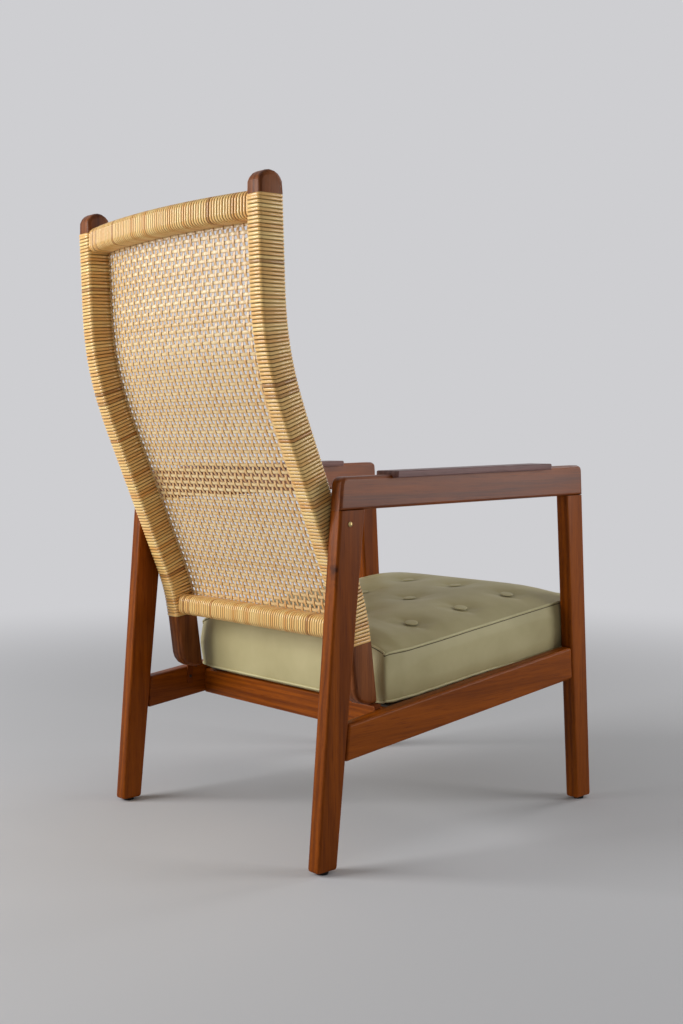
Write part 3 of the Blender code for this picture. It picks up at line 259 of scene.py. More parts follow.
def add_knot(sheened_wood, place, size, strength):
    """Darken a board where a knot, or the streak that runs past it, comes to its face."""
    tree = sheened_wood.node_tree
    colour = tree.nodes["Principled BSDF"].inputs["Base Color"]
    spot = add_node(tree, "TexCoord").outputs["Object"]
    centred = add_node(tree, "Mapping", vector_type="TEXTURE", Vector=spot, Location=place, Scale=size)
    away = add_node(tree, "VectorMath", operation="LENGTH", Vector=centred.outputs["Vector"])
    ragged = add_node(tree, "TexNoise", Vector=spot, Scale=160, Detail=3)
    rough_edge = calculate(tree, "ADD", away.outputs["Value"], ragged.outputs["Fac"])
    inside = add_node(tree, "MapRange", interpolation_type="SMOOTHSTEP", Value=rough_edge,
                      From_Min=0.75, From_Max=1.55, To_Min=strength, To_Max=0)
    stain = mix_colours(tree, inside.outputs["Result"], colour.links[0].from_socket, KNOT_DARK)
    tree.links.new(stain, colour)


def dress(node, material):
    """Give a CAD node its material, and smooth shading over its rounded edges."""
    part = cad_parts[node]
    part.data.materials.clear()
    part.data.materials.append(material)
    part.data.shade_smooth()
    weld = part.modifiers.new("Weld", "WELD")
    weld.merge_threshold = SAME_POINT
    split = part.modifiers.new("Edge split", "EDGE_SPLIT")
    split.split_angle = EDGE_ANGLE
    even = part.modifiers.new("Weighted normal", "WEIGHTED_NORMAL")
    even.weight = FACE_WEIGHT


for number, (board, along) in enumerate((
        ("leg_rear_left", "z"), ("leg_rear_right", "z"), ("leg_front_left", "z"), ("leg_front_right", "z"),
        ("side_rail_left", "y"), ("side_rail_right", "y"), ("arm_left", "y"), ("arm_right", "y"),
        ("cross_rail_rear", "x"), ("cross_rail_front", "x"))):
    board_wood = saw_wood(board + "_wood", along, [number * shift for shift in GRAIN_SHIFT],
                          FRAME_DARK, FRAME_LIGHT, ARM_SHINE if board.startswith("arm") else FRAME_SHINE)
    if board == "leg_rear_right":
        add_knot(board_wood, KNOT_PLACE, STREAK_SIZE, STREAK_STRENGTH)
        add_knot(board_wood, KNOT_PLACE, KNOT_SIZE, KNOT_STRENGTH)
    dress(board, board_wood)

# Arm plates: thin boards of a nearly black wood, let into the tops of the arms and wider than them.
# They are waxed, and their long edges catch the light. Their colours run up to a pale mauve: painted sheen
# of the lamps on the wax, over the nearly black wood.
PLATE_SHEEN_DARK, PLATE_SHEEN_LIGHT = linear(90, 62, 60), linear(146, 110, 106)
for number, side in enumerate(("left", "right")):
    dress("arm_plate_" + side,
          saw_wood(f"plate_{side}_wood", "y", (1.3 + number, 0.4, 0.7), PLATE_SHEEN_DARK, PLATE_SHEEN_LIGHT))

# Back stiles: steam-bent wood, browner than the frame, bare at the domed tops and at the feet.
# Each is worked thinner where it is bound, and the shoulder under the dome, where the binding ends,
# lies 8 mm lower than on the solid. The back's rails are of the same wood and are bound all over.
STILE_DARK, STILE_LIGHT = linear(64, 27, 9), linear(150, 86, 40)
SHOULDER_LOW, SHOULDER_HIGH, SHOULDER_DROP = 1.0645, 1.0675, 0.008
TOP_LEAN = math.radians(2)


def select_only(piece):
    """Select one piece and make it the active one."""
    bpy.ops.object.select_all(action="DESELECT")
    piece.select_set(True)
    bpy.context.view_layer.objects.active = piece


def copy_piece(piece, name):
    """Copy of a piece with a mesh of its own."""
    copy = piece.copy()
    copy.data = piece.data.copy()
    copy.name = name
    scene.collection.objects.link(copy)
    return copy


def copy_solid(node, name):
    """Copy of a CAD node's mesh as a new piece, its loose triangles merged."""
    piece = copy_piece(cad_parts[node], name)
    piece.parent = None
    for key in list(piece.keys()):
        del piece[key]
    piece.data.materials.clear()
    select_only(piece)
    bpy.ops.object.mode_set(mode="EDIT")
    bpy.ops.mesh.select_all(action="SELECT")
    bpy.ops.mesh.remove_doubles(threshold=SAME_POINT)
    bpy.ops.object.mode_set(mode="OBJECT")
    return piece


def pick_points(piece, wanted):
    """In edit mode, select the points of a piece that are wanted."""
    bpy.ops.object.mode_set(mode="EDIT")
    bpy.ops.mesh.select_mode(type="VERT")
    bpy.ops.mesh.select_all(action="DESELECT")
    bpy.ops.object.mode_set(mode="OBJECT")
    for vertex in piece.data.vertices:
        vertex.select = wanted(vertex.co)
    bpy.ops.object.mode_set(mode="EDIT")


for number, side in enumerate(("left", "right")):
    stile = copy_solid("back_stile_" + side, "bent_stile_" + side)
    pick_points(stile, lambda place: SHOULDER_LOW < place.z < SHOULDER_HIGH)
    bpy.ops.transform.translate(
        value=(0, -SHOULDER_DROP * math.sin(TOP_LEAN), -SHOULDER_DROP * math.cos(TOP_LEAN)))
    bpy.ops.object.mode_set(mode="OBJECT")
    bpy.ops.object.shade_smooth_by_angle(angle=EDGE_ANGLE)
    stile.data.materials.append(
        saw_wood(f"stile_{side}_wood", "z", (2.1 + number, 0.9, 0.2), STILE_DARK, STILE_LIGHT))
    even = stile.modifiers.new("Weighted normal", "WEIGHTED_NORMAL")
    even.weight = FACE_WEIGHT
    even.keep_sharp = True
    bpy.ops.object.modifier_apply(modifier=even.name)
    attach(stile, "chair")
    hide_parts("back_stile_" + side)
for number, rail in enumerate(("back_top_rail", "back_bottom_rail")):
    dress(rail, saw_wood(rail + "_wood", "x", (3.1 + number, 0.5, 0.6), STILE_DARK, STILE_LIGHT))

# Cane binding of the stiles: one half-round strand of rattan peel, about 6 mm wide, wound edge to edge
# from above the foot to below the dome. Where one length of cane ends and the next begins, the tone
# changes, and the first and last turns lie level.
STILE_DEPTH, STILE_WIDTH, STILE_CORNER = 0.048, 0.034, 0.0055
FOOT_LEAN, BACK_LEAN = math.radians(7.5), math.radians(22.5)
LOWER_BEND, UPPER_BEND = (0.345, 0.465), (0.69, 0.945)
BOUND_FROM_Z, BOUND_TO_Z = 0.352, 1.0582
STRAND_PITCH, STRAND_SINK = 0.0059, 0.0008
STRAND_HALF_WIDTH, STRAND_HALF_THICK = 0.00292, 0.0016
STILE_NUDGE = 0.00010
TURN_POINTS, SECTION_POINTS = 16, 10
CANE_PALE, CANE_DEEP = linear(255, 226, 152), linear(222, 150, 68)
# The gap colour is painted shade, mixed into each strand towards its rims where it meets the next.
CANE_BROWN, CANE_GAP_SHADE = linear(142, 84, 34), linear(74, 44, 14)
RIM_POWER, RIM_SHARE = 3.2, 0.85
STILE_STREAKS = (24, 24, 900)
STILE_SAMPLES = 400
stile_low, stile_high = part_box("back_stile_left")
stile_x = (stile_low.x + stile_high.x) / 2
draw = np.random.default_rng(11)


def ease(share):
    """Share from 0 to 1 that starts and ends gently."""
    share = np.clip(share, 0, 1)
    return share * share * (3 - 2 * share)


def ease_over(value, bend):
    """Gentle share of a value's way from a bend's start to its end."""
    return ease((value - bend[0]) / (bend[1] - bend[0]))


stile_z = np.linspace(stile_low.z, stile_high.z, STILE_SAMPLES)
stile_lean = FOOT_LEAN + (BACK_LEAN - FOOT_LEAN) * ease_over(stile_z, LOWER_BEND)
stile_lean = stile_lean + (TOP_LEAN - stile_lean) * ease_over(stile_z, UPPER_BEND)
stile_step = np.diff(stile_z)[0]
stile_y = stile_low.y + STILE_DEPTH / 2 + np.concatenate(
    ([0], np.cumsum(np.tan((stile_lean[1:] + stile_lean[:-1]) / 2) * stile_step)))
stile_length = np.concatenate(([0], np.cumsum(np.hypot(np.diff(stile_y), stile_step))))


def up_stile(length, rearward):
    """Y and Z at a length up the stile's centre line, and set back from it."""
    z = np.interp(length, stile_length, stile_z)
    lean = np.interp(z, stile_z, stile_lean)
    y = np.interp(z, stile_z, stile_y)
    return y + rearward * np.cos(lean), z - rearward * np.sin(lean)


def turn_round(half_a, half_b, corner):
    """Points of one turn round a bar with rounded edges."""
    points = []
    for quarter in range(4):
        for step in range(TURN_POINTS // 4):
            angle = math.pi / 2 * (quarter + step / (TURN_POINTS // 4 - 1))
            a = math.copysign(half_a - corner, (1, -1, -1, 1)[quarter]) + corner * math.cos(angle)
            b = math.copysign(half_b - corner, (1, 1, -1, -1)[quarter]) + corner * math.sin(angle)
            points.append((a, b))
    return np.array(points)


def add_line(curve, points):
    """Line of a curve, straight from point to point."""
    line = curve.splines.new("POLY")
    line.points.add(len(points) - 1)
    line.points.foreach_set("co", np.column_stack((points, np.ones(len(points)))).ravel())
    return line


def make_mesh(name, curve):
    """Piece made from a curve, turned into a mesh."""
    piece = bpy.data.objects.new(name, curve)
    scene.collection.objects.link(piece)
    select_only(piece)
    bpy.ops.object.convert(target="MESH")
    piece = bpy.context.object
    piece.data.shade_smooth()
    return piece


def mark_points(mesh, name, values):
    """Keep a value at each point of a mesh, for its material to read."""
    mesh.attributes.new(name, "FLOAT", "POINT").data.foreach_set("value", values.astype(np.float32))


def strand_section():
    """Rounded outline of a strand, as a curve that other curves take as their bevel."""
    outline = bpy.data.curves.new("strand_outline", "CURVE")
    outline.dimensions = "2D"
    outline.fill_mode = "NONE"
    angle = 2 * np.pi * (np.arange(SECTION_POINTS) + 0.5) / SECTION_POINTS
    thick, wide = STRAND_HALF_THICK * np.cos(angle), STRAND_HALF_WIDTH * np.sin(angle)
    add_line(outline, np.column_stack((thick, wide, 0 * angle))).use_cyclic_u = True
    section = bpy.data.objects.new("strand_outline", outline)
    scene.collection.objects.link(section)
    return section


def wind(name, points, axes):
    """One unbroken strand through the points, kept flat on the bar whose axis is given at each."""
    curve = bpy.data.curves.new(name, "CURVE")
    curve.dimensions = "3D"
    curve.twist_mode = "Z_UP"
    curve.use_fill_caps = True
    curve.bevel_mode = "OBJECT"
    curve.bevel_object = strand_section()
    along = np.gradient(points, axis=0)
    along /= np.linalg.norm(along, axis=1, keepdims=True)
    wanted = axes - along * np.sum(axes * along, axis=1, keepdims=True)
    given = np.array((0, 0, 1)) - along * along[:, 2:]
    tilt = np.arctan2(np.sum(along * np.cross(given, wanted), axis=1), np.sum(given * wanted, axis=1))
    add_line(curve, points).points.foreach_set("tilt", tilt)
    strand = make_mesh(name, curve)
    bpy.data.objects.remove(bpy.data.objects["strand_outline"], do_unlink=True)
    order = np.arange(len(strand.data.vertices))
    from_middle = np.abs(np.sin(2 * np.pi * (order % SECTION_POINTS + 0.5) / SECTION_POINTS))
    mark_points(strand.data, "turn", order // SECTION_POINTS / TURN_POINTS)
    mark_points(strand.data, "rim", from_middle)
    return strand


def make_cane_peel():
    """Node group: colour of rattan peel by strand and along the strand, with painted shade darkening each
    strand's rims where it meets the next.
    """
    group, given, result = new_group(
        "cane_peel", {"Strand": "Float", "Rim": "Float", "Place": "Vector", "Pale": "Color",
                      "Deep": "Color", "Brown": "Color", "Gap shade": "Color"},
        {"Color": "Color", "Roughness": "Float", "Height": "Float"})
    whole = calculate(group, "FLOOR", given["Strand"])
    single = add_node(group, "TexWhiteNoise", noise_dimensions="1D", W=whole).outputs["Value"]
    lengths = add_node(group, "TexNoise", noise_dimensions="1D", W=whole, Scale=0.31, Detail=2,
                       Roughness=0.7)
    spread = add_node(group, "MapRange", Value=lengths.outputs["Fac"], From_Min=0.40, From_Max=0.62)
    streak = add_node(group, "TexNoise", Vector=given["Place"], Scale=1, Detail=3, Roughness=0.6)
    mixed = mix_values(group, 0.40, spread.outputs["Result"], single)
    streaked = mix_values(group, 0.38, mixed, streak.outputs["Fac"])
    tone = mix_colours(group, streaked, given["Pale"], given["Deep"])
    rare = add_node(group, "MapRange", Value=single, From_Min=0.90, From_Max=0.96, To_Max=0.6)
    aged = mix_colours(group, rare.outputs["Result"], tone, given["Brown"])
    # Painted shade: towards each strand's rims its colour goes over to the gap colour.
    deep_rim = calculate(group, "POWER", given["Rim"], RIM_POWER)
    rim_share = calculate(group, "MULTIPLY", deep_rim, RIM_SHARE)
    gloss = add_node(group, "MapRange", Value=streak.outputs["Fac"], To_Min=0.20, To_Max=0.38)
    group.links.new(mix_colours(group, rim_share, aged, given["Gap shade"]), result["Color"])
    group.links.new(gloss.outputs["Result"], result["Roughness"])
    group.links.new(streak.outputs["Fac"], result["Height"])
    return group


cane_peel = make_cane_peel()


def peel_material(name, streak_scale, pale, deep, brown, gap_shade):
    """Cane material whose fine streaks run along the strands."""
    cane, tree = new_finish(name, Specular_IOR_Level=0.25, Coat_Weight=0.3, Coat_Roughness=0.12)
    strand = add_node(tree, "Attribute", attribute_name="turn").outputs["Fac"]
    rim = add_node(tree, "Attribute", attribute_name="rim").outputs["Fac"]
    colours = {"Pale": pale, "Deep": deep, "Brown": brown, "Gap shade": gap_shade}
    peel = place_group(tree, cane_peel, {"Strand": strand, "Rim": rim, **colours}, Scale=streak_scale)
    add_relief(tree, peel.outputs["Height"], strength=0.3, distance=0.0002)
    return cane


stile_cane = peel_material("stile_cane", STILE_STREAKS, CANE_PALE, CANE_DEEP, CANE_BROWN, CANE_GAP_SHADE)
bound_from = np.interp(BOUND_FROM_Z, stile_z, stile_length) + STRAND_HALF_WIDTH
bound_to = np.interp(BOUND_TO_Z, stile_z, stile_length) - STRAND_HALF_WIDTH
stile_turns = round((bound_to - bound_from) / STRAND_PITCH) + 2
count = stile_turns * TURN_POINTS
shape = turn_round(STILE_WIDTH / 2 - STRAND_SINK, STILE_DEPTH / 2 - STRAND_SINK, STILE_CORNER)
across, rearward = np.tile(shape, (stile_turns, 1)).T
for side, sign in (("left", 1), ("right", -1)):
    nudge = np.repeat(draw.normal(0, STILE_NUDGE, stile_turns), TURN_POINTS)
    length = np.linspace(bound_from - STRAND_PITCH, bound_to + STRAND_PITCH, count) + nudge
    length = np.clip(length, bound_from, bound_to)
    y, z = up_stile(length, rearward)
    lean = np.interp(np.interp(length, stile_length, stile_z), stile_z, stile_lean)
    points = np.column_stack((sign * (stile_x + across), y, z))
    axes = np.column_stack((np.zeros(count), np.sin(lean), np.cos(lean)))
    binding = wind(f"stile_winding_{side}", points, axes)
    binding.data.materials.append(stile_cane)
    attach(binding, "chair")
    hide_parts(f"stile_binding_{side}")

# Cane binding of the back's top and bottom rails: the same strand, wound from stile to stile.
# The top rail is bowed to the rear, and both have strongly rounded edges.
TOP_BOW, TOP_DEPTH, TOP_FULLER = 0.025, 0.0445, 0.002
BOTTOM_DEPTH = 0.0413
RAIL_CORNER = 0.010
RAIL_LET_IN, WINDING_LET_IN = 0.0024, 0.0012
RAIL_NUDGE = 0.00012
RAIL_STREAKS = (900, 24, 24)
stile_face = stile_x - STILE_WIDTH / 2
bow_span = stile_face + RAIL_LET_IN
reach = stile_face + WINDING_LET_IN
rail_turns = round(2 * reach / STRAND_PITCH) + 2
count = rail_turns * TURN_POINTS
rail_cane = peel_material("rail_cane", RAIL_STREAKS, CANE_PALE, CANE_DEEP, CANE_BROWN, CANE_GAP_SHADE)
for rail, bow, depth, fuller in (("top", TOP_BOW, TOP_DEPTH, TOP_FULLER), ("bottom", 0, BOTTOM_DEPTH, 0)):
    low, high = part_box(f"{rail}_rail_binding")
    half_a = (high.z - low.z) / 2 - STRAND_HALF_THICK + fuller
    half_b = depth / 2 - STRAND_HALF_THICK
    nudge = np.repeat(draw.normal(0, RAIL_NUDGE, rail_turns), TURN_POINTS)
    x = np.clip(np.linspace(-reach - STRAND_PITCH, reach + STRAND_PITCH, count) + nudge, -reach, reach)
    upward, rearward = np.tile(turn_round(half_a, half_b, RAIL_CORNER), (rail_turns, 1)).T
    y = high.y - depth / 2 + rearward - bow * (x / bow_span) ** 2
    slope = -2 * bow * x / bow_span ** 2
    points = np.column_stack((-(low.z + high.z) / 2 - upward, y, x))
    axes = np.column_stack((np.zeros(count), slope, np.ones(count)))
    binding = wind(f"{rail}_rail_winding", points, axes)
    binding.data.transform(Matrix.Rotation(math.pi / 2, 4, "Y"))
    binding.data.materials.append(rail_cane)
    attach(binding, "chair")
    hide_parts(f"{rail}_rail_binding")

# Woven panel: pale flat cane strips across and tanner ones up and down, one over and one under,
# with a square hole between them. It is let into the stiles and follows their curve.
PANEL_COLUMNS, PANEL_ROWS = 41, 56
PANEL_LET_IN, PANEL_INTO_BOTTOM, PANEL_INTO_TOP = 0.001, 0.006, 0.003
PANEL_BACK = -0.0176
ACROSS_WIDTH, UPRIGHT_WIDTH = 0.0063, 0.0056
STRIP_THICK, STRIP_CROWN, STRIP_RISE = 0.0009, 0.0005, 0.0010
STEPS_EACH = 3
SOFT_ANGLE = math.radians(40)
ACROSS_PALE, ACROSS_DEEP = linear(238, 216, 168), linear(216, 180, 122)
UPRIGHT_PALE, UPRIGHT_DEEP = linear(236, 200, 144), linear(212, 162, 100)
# The rim colour below is painted shade, darkening each strip towards its edges where the strips meet and
# cross.
STRIP_RIM_SHADE = linear(148, 108, 60)
ACROSS_STREAKS, UPRIGHT_STREAKS = (40, 700, 700), (700, 40, 40)
panel_half = stile_face + PANEL_LET_IN
panel_from = np.interp(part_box("bottom_rail_binding")[1].z - PANEL_INTO_BOTTOM, stile_z, stile_length)
panel_to = np.interp(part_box("top_rail_binding")[0].z + PANEL_INTO_TOP, stile_z, stile_length)
column_pitch = 2 * panel_half / PANEL_COLUMNS
row_pitch = (panel_to - panel_from) / PANEL_ROWS


def points_of(mesh):
    """Places of a mesh's points, one row for each."""
    co = np.zeros(len(mesh.vertices) * 3)
    mesh.vertices.foreach_get("co", co)
    return co.reshape(-1, 3)


def lay_strips(name, length, width, crossings, across_count, pitch, first, phase):
    """Strips side by side with every second place left free, waved over and under what they cross."""
    bpy.ops.object.select_all(action="DESELECT")
    bpy.ops.mesh.primitive_grid_add(x_subdivisions=STEPS_EACH * crossings, y_subdivisions=2, size=1)
    strip = bpy.context.object
    strip.name = name
    co = points_of(strip.data)
    crossing = (co[:, 0] + 0.5) * crossings - 0.5
    co[:, 2] = phase * STRIP_RISE * np.cos(np.pi * crossing) + STRIP_CROWN * (1 - (2 * co[:, 1]) ** 2)
    co[:, 0] *= length
    co[:, 1] = co[:, 1] * width + first * pitch
    strip.data.vertices.foreach_set("co", co.ravel())
    thick = strip.modifiers.new("Thickness", "SOLIDIFY")
    thick.thickness = STRIP_THICK
    thick.offset = -1
    bpy.ops.object.modifier_apply(modifier=thick.name)
    from_middle = np.abs(points_of(strip.data)[:, 1] - first * pitch) / (width / 2)
    strips = (across_count - first + 1) // 2
    row = strip.modifiers.new("Row", "ARRAY")
    row.count = strips
    row.use_relative_offset = False
    row.use_constant_offset = True
    row.constant_offset_displace = (0, 2 * pitch, 0)
    bpy.ops.object.modifier_apply(modifier=row.name)
    mark_points(strip.data, "turn", np.repeat(np.arange(strips) * 2 + first + 0.5, len(from_middle)))
    mark_points(strip.data, "rim", np.tile(np.minimum(from_middle, 1), strips))
    return strip


def bend_to_back(strip, turned):
    """Move flat strips to the back's curved face; the turned ones run up and down."""
    along, across, out = points_of(strip.data).T
    if turned:
        x = across - panel_half + column_pitch / 2
        length = along + (panel_from + panel_to) / 2
    else:
        x = along
        length = across + panel_from + row_pitch / 2
    y, z = up_stile(length, PANEL_BACK + out)
    share = np.clip((length - panel_from) / (panel_to - panel_from), 0, 1)
    y = y + TOP_BOW * (1 - (x / bow_span) ** 2) * share ** 2
    strip.data.vertices.foreach_set("co", np.column_stack((x, y, z)).ravel())
    strip.data.update()


across_cane = peel_material("across_cane", ACROSS_STREAKS, ACROSS_PALE, ACROSS_DEEP, ACROSS_DEEP,
                            STRIP_RIM_SHADE)
upright_cane = peel_material("upright_cane", UPRIGHT_STREAKS, UPRIGHT_PALE, UPRIGHT_DEEP, UPRIGHT_DEEP,
                             STRIP_RIM_SHADE)
weave = []
for first in (0, 1):
    across_strips = lay_strips(f"strips_across_{first}", 2 * panel_half, ACROSS_WIDTH, PANEL_COLUMNS,
                               PANEL_ROWS, row_pitch, first, (1, -1)[first])
    bend_to_back(across_strips, False)
    across_strips.data.materials.append(across_cane)
    upright_strips = lay_strips(f"strips_upright_{first}", panel_to - panel_from, UPRIGHT_WIDTH, PANEL_ROWS,
                                PANEL_COLUMNS, column_pitch, first, (-1, 1)[first])
    bend_to_back(upright_strips, True)
    upright_strips.data.materials.append(upright_cane)
    weave += [across_strips, upright_strips]
select_only(weave[0])
for strips in weave:
    strips.select_set(True)
bpy.ops.object.join()
weave_panel = bpy.context.object
weave_panel.name = "woven_panel"
bpy.ops.object.mode_set(mode="EDIT")
bpy.ops.mesh.select_all(action="SELECT")
bpy.ops.mesh.normals_make_consistent(inside=False)
bpy.ops.object.mode_set(mode="OBJECT")
bpy.ops.object.shade_smooth_by_angle(angle=SOFT_ANGLE)
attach(weave_panel, "chair")
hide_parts("cane_panel")

# Seat cushion: a foam block in smooth khaki leather, loose on the straps. The top is crowned and drawn
# down by covered buttons, and the boxing strip round its sides is sewn in between two corded seams.
# It is filled out by a cloth simulation, held at the seams, the buttons and the underside.
LEATHER_DARK, LEATHER_LIGHT = linear(168, 157, 114), linear(188, 178, 134)
CUSHION_GRAIN, FINE_SHARE = 900, 0.4
SOLID_CORD_RADIUS = 0.003
VOXEL = 0.006
SEAM_HOLD, UNDERSIDE_HOLD, BUTTON_HOLD = 0.010, 0.006, 0.016
CLOTH_FRAMES = 20
TOP_SWELL, SIDE_SWELL, TOP_FACING = 0.004, 0.0012, (0.2, 0.8)
FILL_OUT, CORNER_FILL, CORNER_POWER, WIDEST = 1.010, 0.008, 10, 0.2688
BOXING_HEIGHT = 0.075
REAR_ARCH, ARCH_POWER, EDGE_DROOP, FRONT_DROOP = 0.023, 8, 0.0085, 0.006
ARCH_BEND, EDGE_BEND, FRONT_BEND = (0.6, 1), (0.90, 0.98), (-0.1, 0.5)
STRAPS_TO, BESIDE_STRAPS = 0.2575, 0.2655
SEAM_EASE = 0.004
CREASE_DEPTH, CREASE_REACH, CREASE_SPREAD, CREASE_POWER = 0.0010, 0.024, 0.011, 6
button_nodes = sorted(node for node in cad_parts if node.startswith("cushion_button"))
button_places = [sum(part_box(node), Vector()) / 2 for node in button_nodes]


def seam_line(node):
    """Half width, half depth, middle, height and slope of a corded seam, from the CAD cord's box."""
    low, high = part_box(node)
    half_width, half_depth = high.x - SOLID_CORD_RADIUS, (high.y - low.y) / 2 - SOLID_CORD_RADIUS
    middle = (low.y + high.y) / 2
    slope = (high.z - low.z - 2 * SOLID_CORD_RADIUS) / (2 * half_depth)
    return half_width, half_depth, middle, (low.z + high.z) / 2, slope


def from_seam(points, node):
    """Distance of points from a corded seam, and their height over the seam's plane."""
    half_width, half_depth, middle, height, slope = seam_line(node)
    from_side = np.minimum(half_width - np.abs(points[:, 0]), half_depth - np.abs(points[:, 1] - middle))
    above = points[:, 2] - height + slope * (points[:, 1] - middle)
    return np.hypot(from_side, above), above


def rear_rise(u, v):
    """How far the top rises towards the middle of its rear edge; u and v run from -1 to 1."""
    return REAR_ARCH * ease_over(v, ARCH_BEND) * (1 - np.minimum(np.abs(u), 1) ** ARCH_POWER)


def front_fall(v):
    """How far the lower edge falls towards the front."""
    return FRONT_DROOP * ease_over(-v, FRONT_BEND)


def make_leather_grain():
    """Node group: fine pebbling and a slow change of tone."""
    group, given, result = new_group(
        "leather_grain", {"Place": "Vector", "Dark": "Color", "Light": "Color", "Grain": "Float"},
        {"Color": "Color", "Roughness": "Float", "Height": "Float"})
    cloud = add_node(group, "TexNoise", Vector=given["Place"], Scale=7, Detail=4, Roughness=0.55)
    spread = add_node(group, "MapRange", Value=cloud.outputs["Fac"], From_Min=0.3, From_Max=0.7)
    tone = mix_colours(group, spread.outputs["Result"], given["Dark"], given["Light"])
    pebble = add_node(group, "TexVoronoi", Vector=given["Place"], Scale=given["Grain"])
    fine_scale = calculate(group, "MULTIPLY", given["Grain"], FINE_SHARE)
    fine = add_node(group, "TexNoise", Vector=given["Place"], Scale=fine_scale, Detail=3)
    gloss = add_node(group, "MapRange", Value=fine.outputs["Fac"], To_Min=0.42, To_Max=0.54)
    height = mix_values(group, 0.5, pebble.outputs["Distance"], fine.outputs["Fac"])
    group.links.new(tone, result["Color"])
    group.links.new(gloss.outputs["Result"], result["Roughness"])
    group.links.new(height, result["Height"])
    return group


leather_grain = make_leather_grain()


def leather_material(name, dark, light, grain):
    """Smooth leather with a grain of the fineness given."""
    leather, tree = new_finish(name, Specular_IOR_Level=0.25)
    pebbled = place_group(tree, leather_grain, {"Dark": dark, "Light": light, "Grain": grain})
    add_relief(tree, pebbled.outputs["Height"], strength=0.14, distance=0.0003)
    return leather


cushion = copy_solid("seat_cushion", "leather_cushion")
cushion.data.materials.append(
    leather_material("cushion_leather", LEATHER_DARK, LEATHER_LIGHT, CUSHION_GRAIN))
cushion.data.remesh_voxel_size = VOXEL
bpy.ops.object.voxel_remesh()
even = cushion.modifiers.new("Even", "SMOOTH")
even.factor = 0.5
even.iterations = 3
bpy.ops.object.modifier_apply(modifier=even.name)
start = points_of(cushion.data)
held = np.zeros(len(start))
for seam in ("cushion_piping_top", "cushion_piping_bottom"):
    held = np.maximum(held, np.exp(-(from_seam(start, seam)[0] / SEAM_HOLD) ** 2))
held[from_seam(start, "cushion_piping_bottom")[1] < UNDERSIDE_HOLD] = 1
for spot in button_places:
    away = np.linalg.norm(start - np.array(spot), axis=1)
    held = np.maximum(held, np.exp(-(away / BUTTON_HOLD) ** 4))
pins = cushion.vertex_groups.new(name="sewn")
for index, weight in enumerate(held):
    pins.add([index], min(float(weight), 1), "REPLACE")
facing_up = np.zeros(len(start) * 3)
cushion.data.vertices.foreach_get("normal", facing_up)
facing_up = ease_over(facing_up.reshape(-1, 3)[:, 2:], TOP_FACING)
cloth = cushion.modifiers.new("Cloth", "CLOTH")
cloth.settings.quality = 5
cloth.settings.mass = 0.4
cloth.settings.tension_stiffness = 20
cloth.settings.compression_stiffness = 20
cloth.settings.bending_stiffness = 2
cloth.settings.use_pressure = True
cloth.settings.uniform_pressure_force = 4
cloth.settings.vertex_group_mass = "sewn"
cloth.settings.effector_weights.gravity = 0
for step in range(1, CLOTH_FRAMES + 1):
    scene.frame_set(step)
bpy.ops.object.modifier_apply(modifier=cloth.name)
scene.frame_set(1)
shift = points_of(cushion.data) - start
moved = np.linalg.norm(shift, axis=1, keepdims=True)
swell = SIDE_SWELL + (TOP_SWELL - SIDE_SWELL) * facing_up
shift *= np.minimum(1, swell / np.maximum(moved, 1e-9))
cushion.data.vertices.foreach_set("co", (start + shift).ravel())
cushion.vertex_groups.clear()
finer = cushion.modifiers.new("Finer", "SUBSURF")
finer.levels = finer.render_levels = 1
bpy.ops.object.modifier_apply(modifier=finer.name)
skin = points_of(cushion.data)
half_width, half_depth, middle, _, _ = seam_line("cushion_piping_top")
skin[:, 0] *= FILL_OUT
skin[:, 1] = middle + (skin[:, 1] - middle) * FILL_OUT
u, v = skin[:, 0] / half_width, (skin[:, 1] - middle) / half_depth
corner = np.minimum(np.abs(u * v), 1)[:, None] ** CORNER_POWER
skin[:, :2] += CORNER_FILL * corner * np.sign(np.column_stack((u, v)))
skin[:, 0] = np.clip(skin[:, 0], -WIDEST, WIDEST)
height_share = np.clip(from_seam(skin, "cushion_piping_bottom")[1] / BOXING_HEIGHT, 0, 1)
skin[:, 2] += rear_rise(u, v) * height_share
at_edge = ease_over(np.maximum(np.abs(u), np.abs(v)), EDGE_BEND)
off_straps = np.maximum(ease_over(np.abs(skin[:, 0]), (STRAPS_TO, BESIDE_STRAPS)), ease_over(-v, EDGE_BEND))
droop = EDGE_DROOP * at_edge + off_straps * front_fall(v)
skin[:, 2] -= droop * (1 - height_share) ** 2
on_top = ease_over(from_seam(skin, "cushion_piping_top")[1], (-SEAM_EASE, SEAM_EASE))
for spot in button_places:
    away = skin - np.array(spot)
    far = np.hypot(away[:, 0], away[:, 1])
    sideways = np.clip(np.cos(2 * np.arctan2(away[:, 1], away[:, 0])), 0, 1) ** CREASE_POWER
    skin[:, 2] -= on_top * CREASE_DEPTH * sideways * np.exp(-((far - CREASE_REACH) / CREASE_SPREAD) ** 2)
cushion.data.vertices.foreach_set("co", skin.ravel())
cushion.data.shade_smooth()
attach(cushion, "cushion")
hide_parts("seat_cushion")

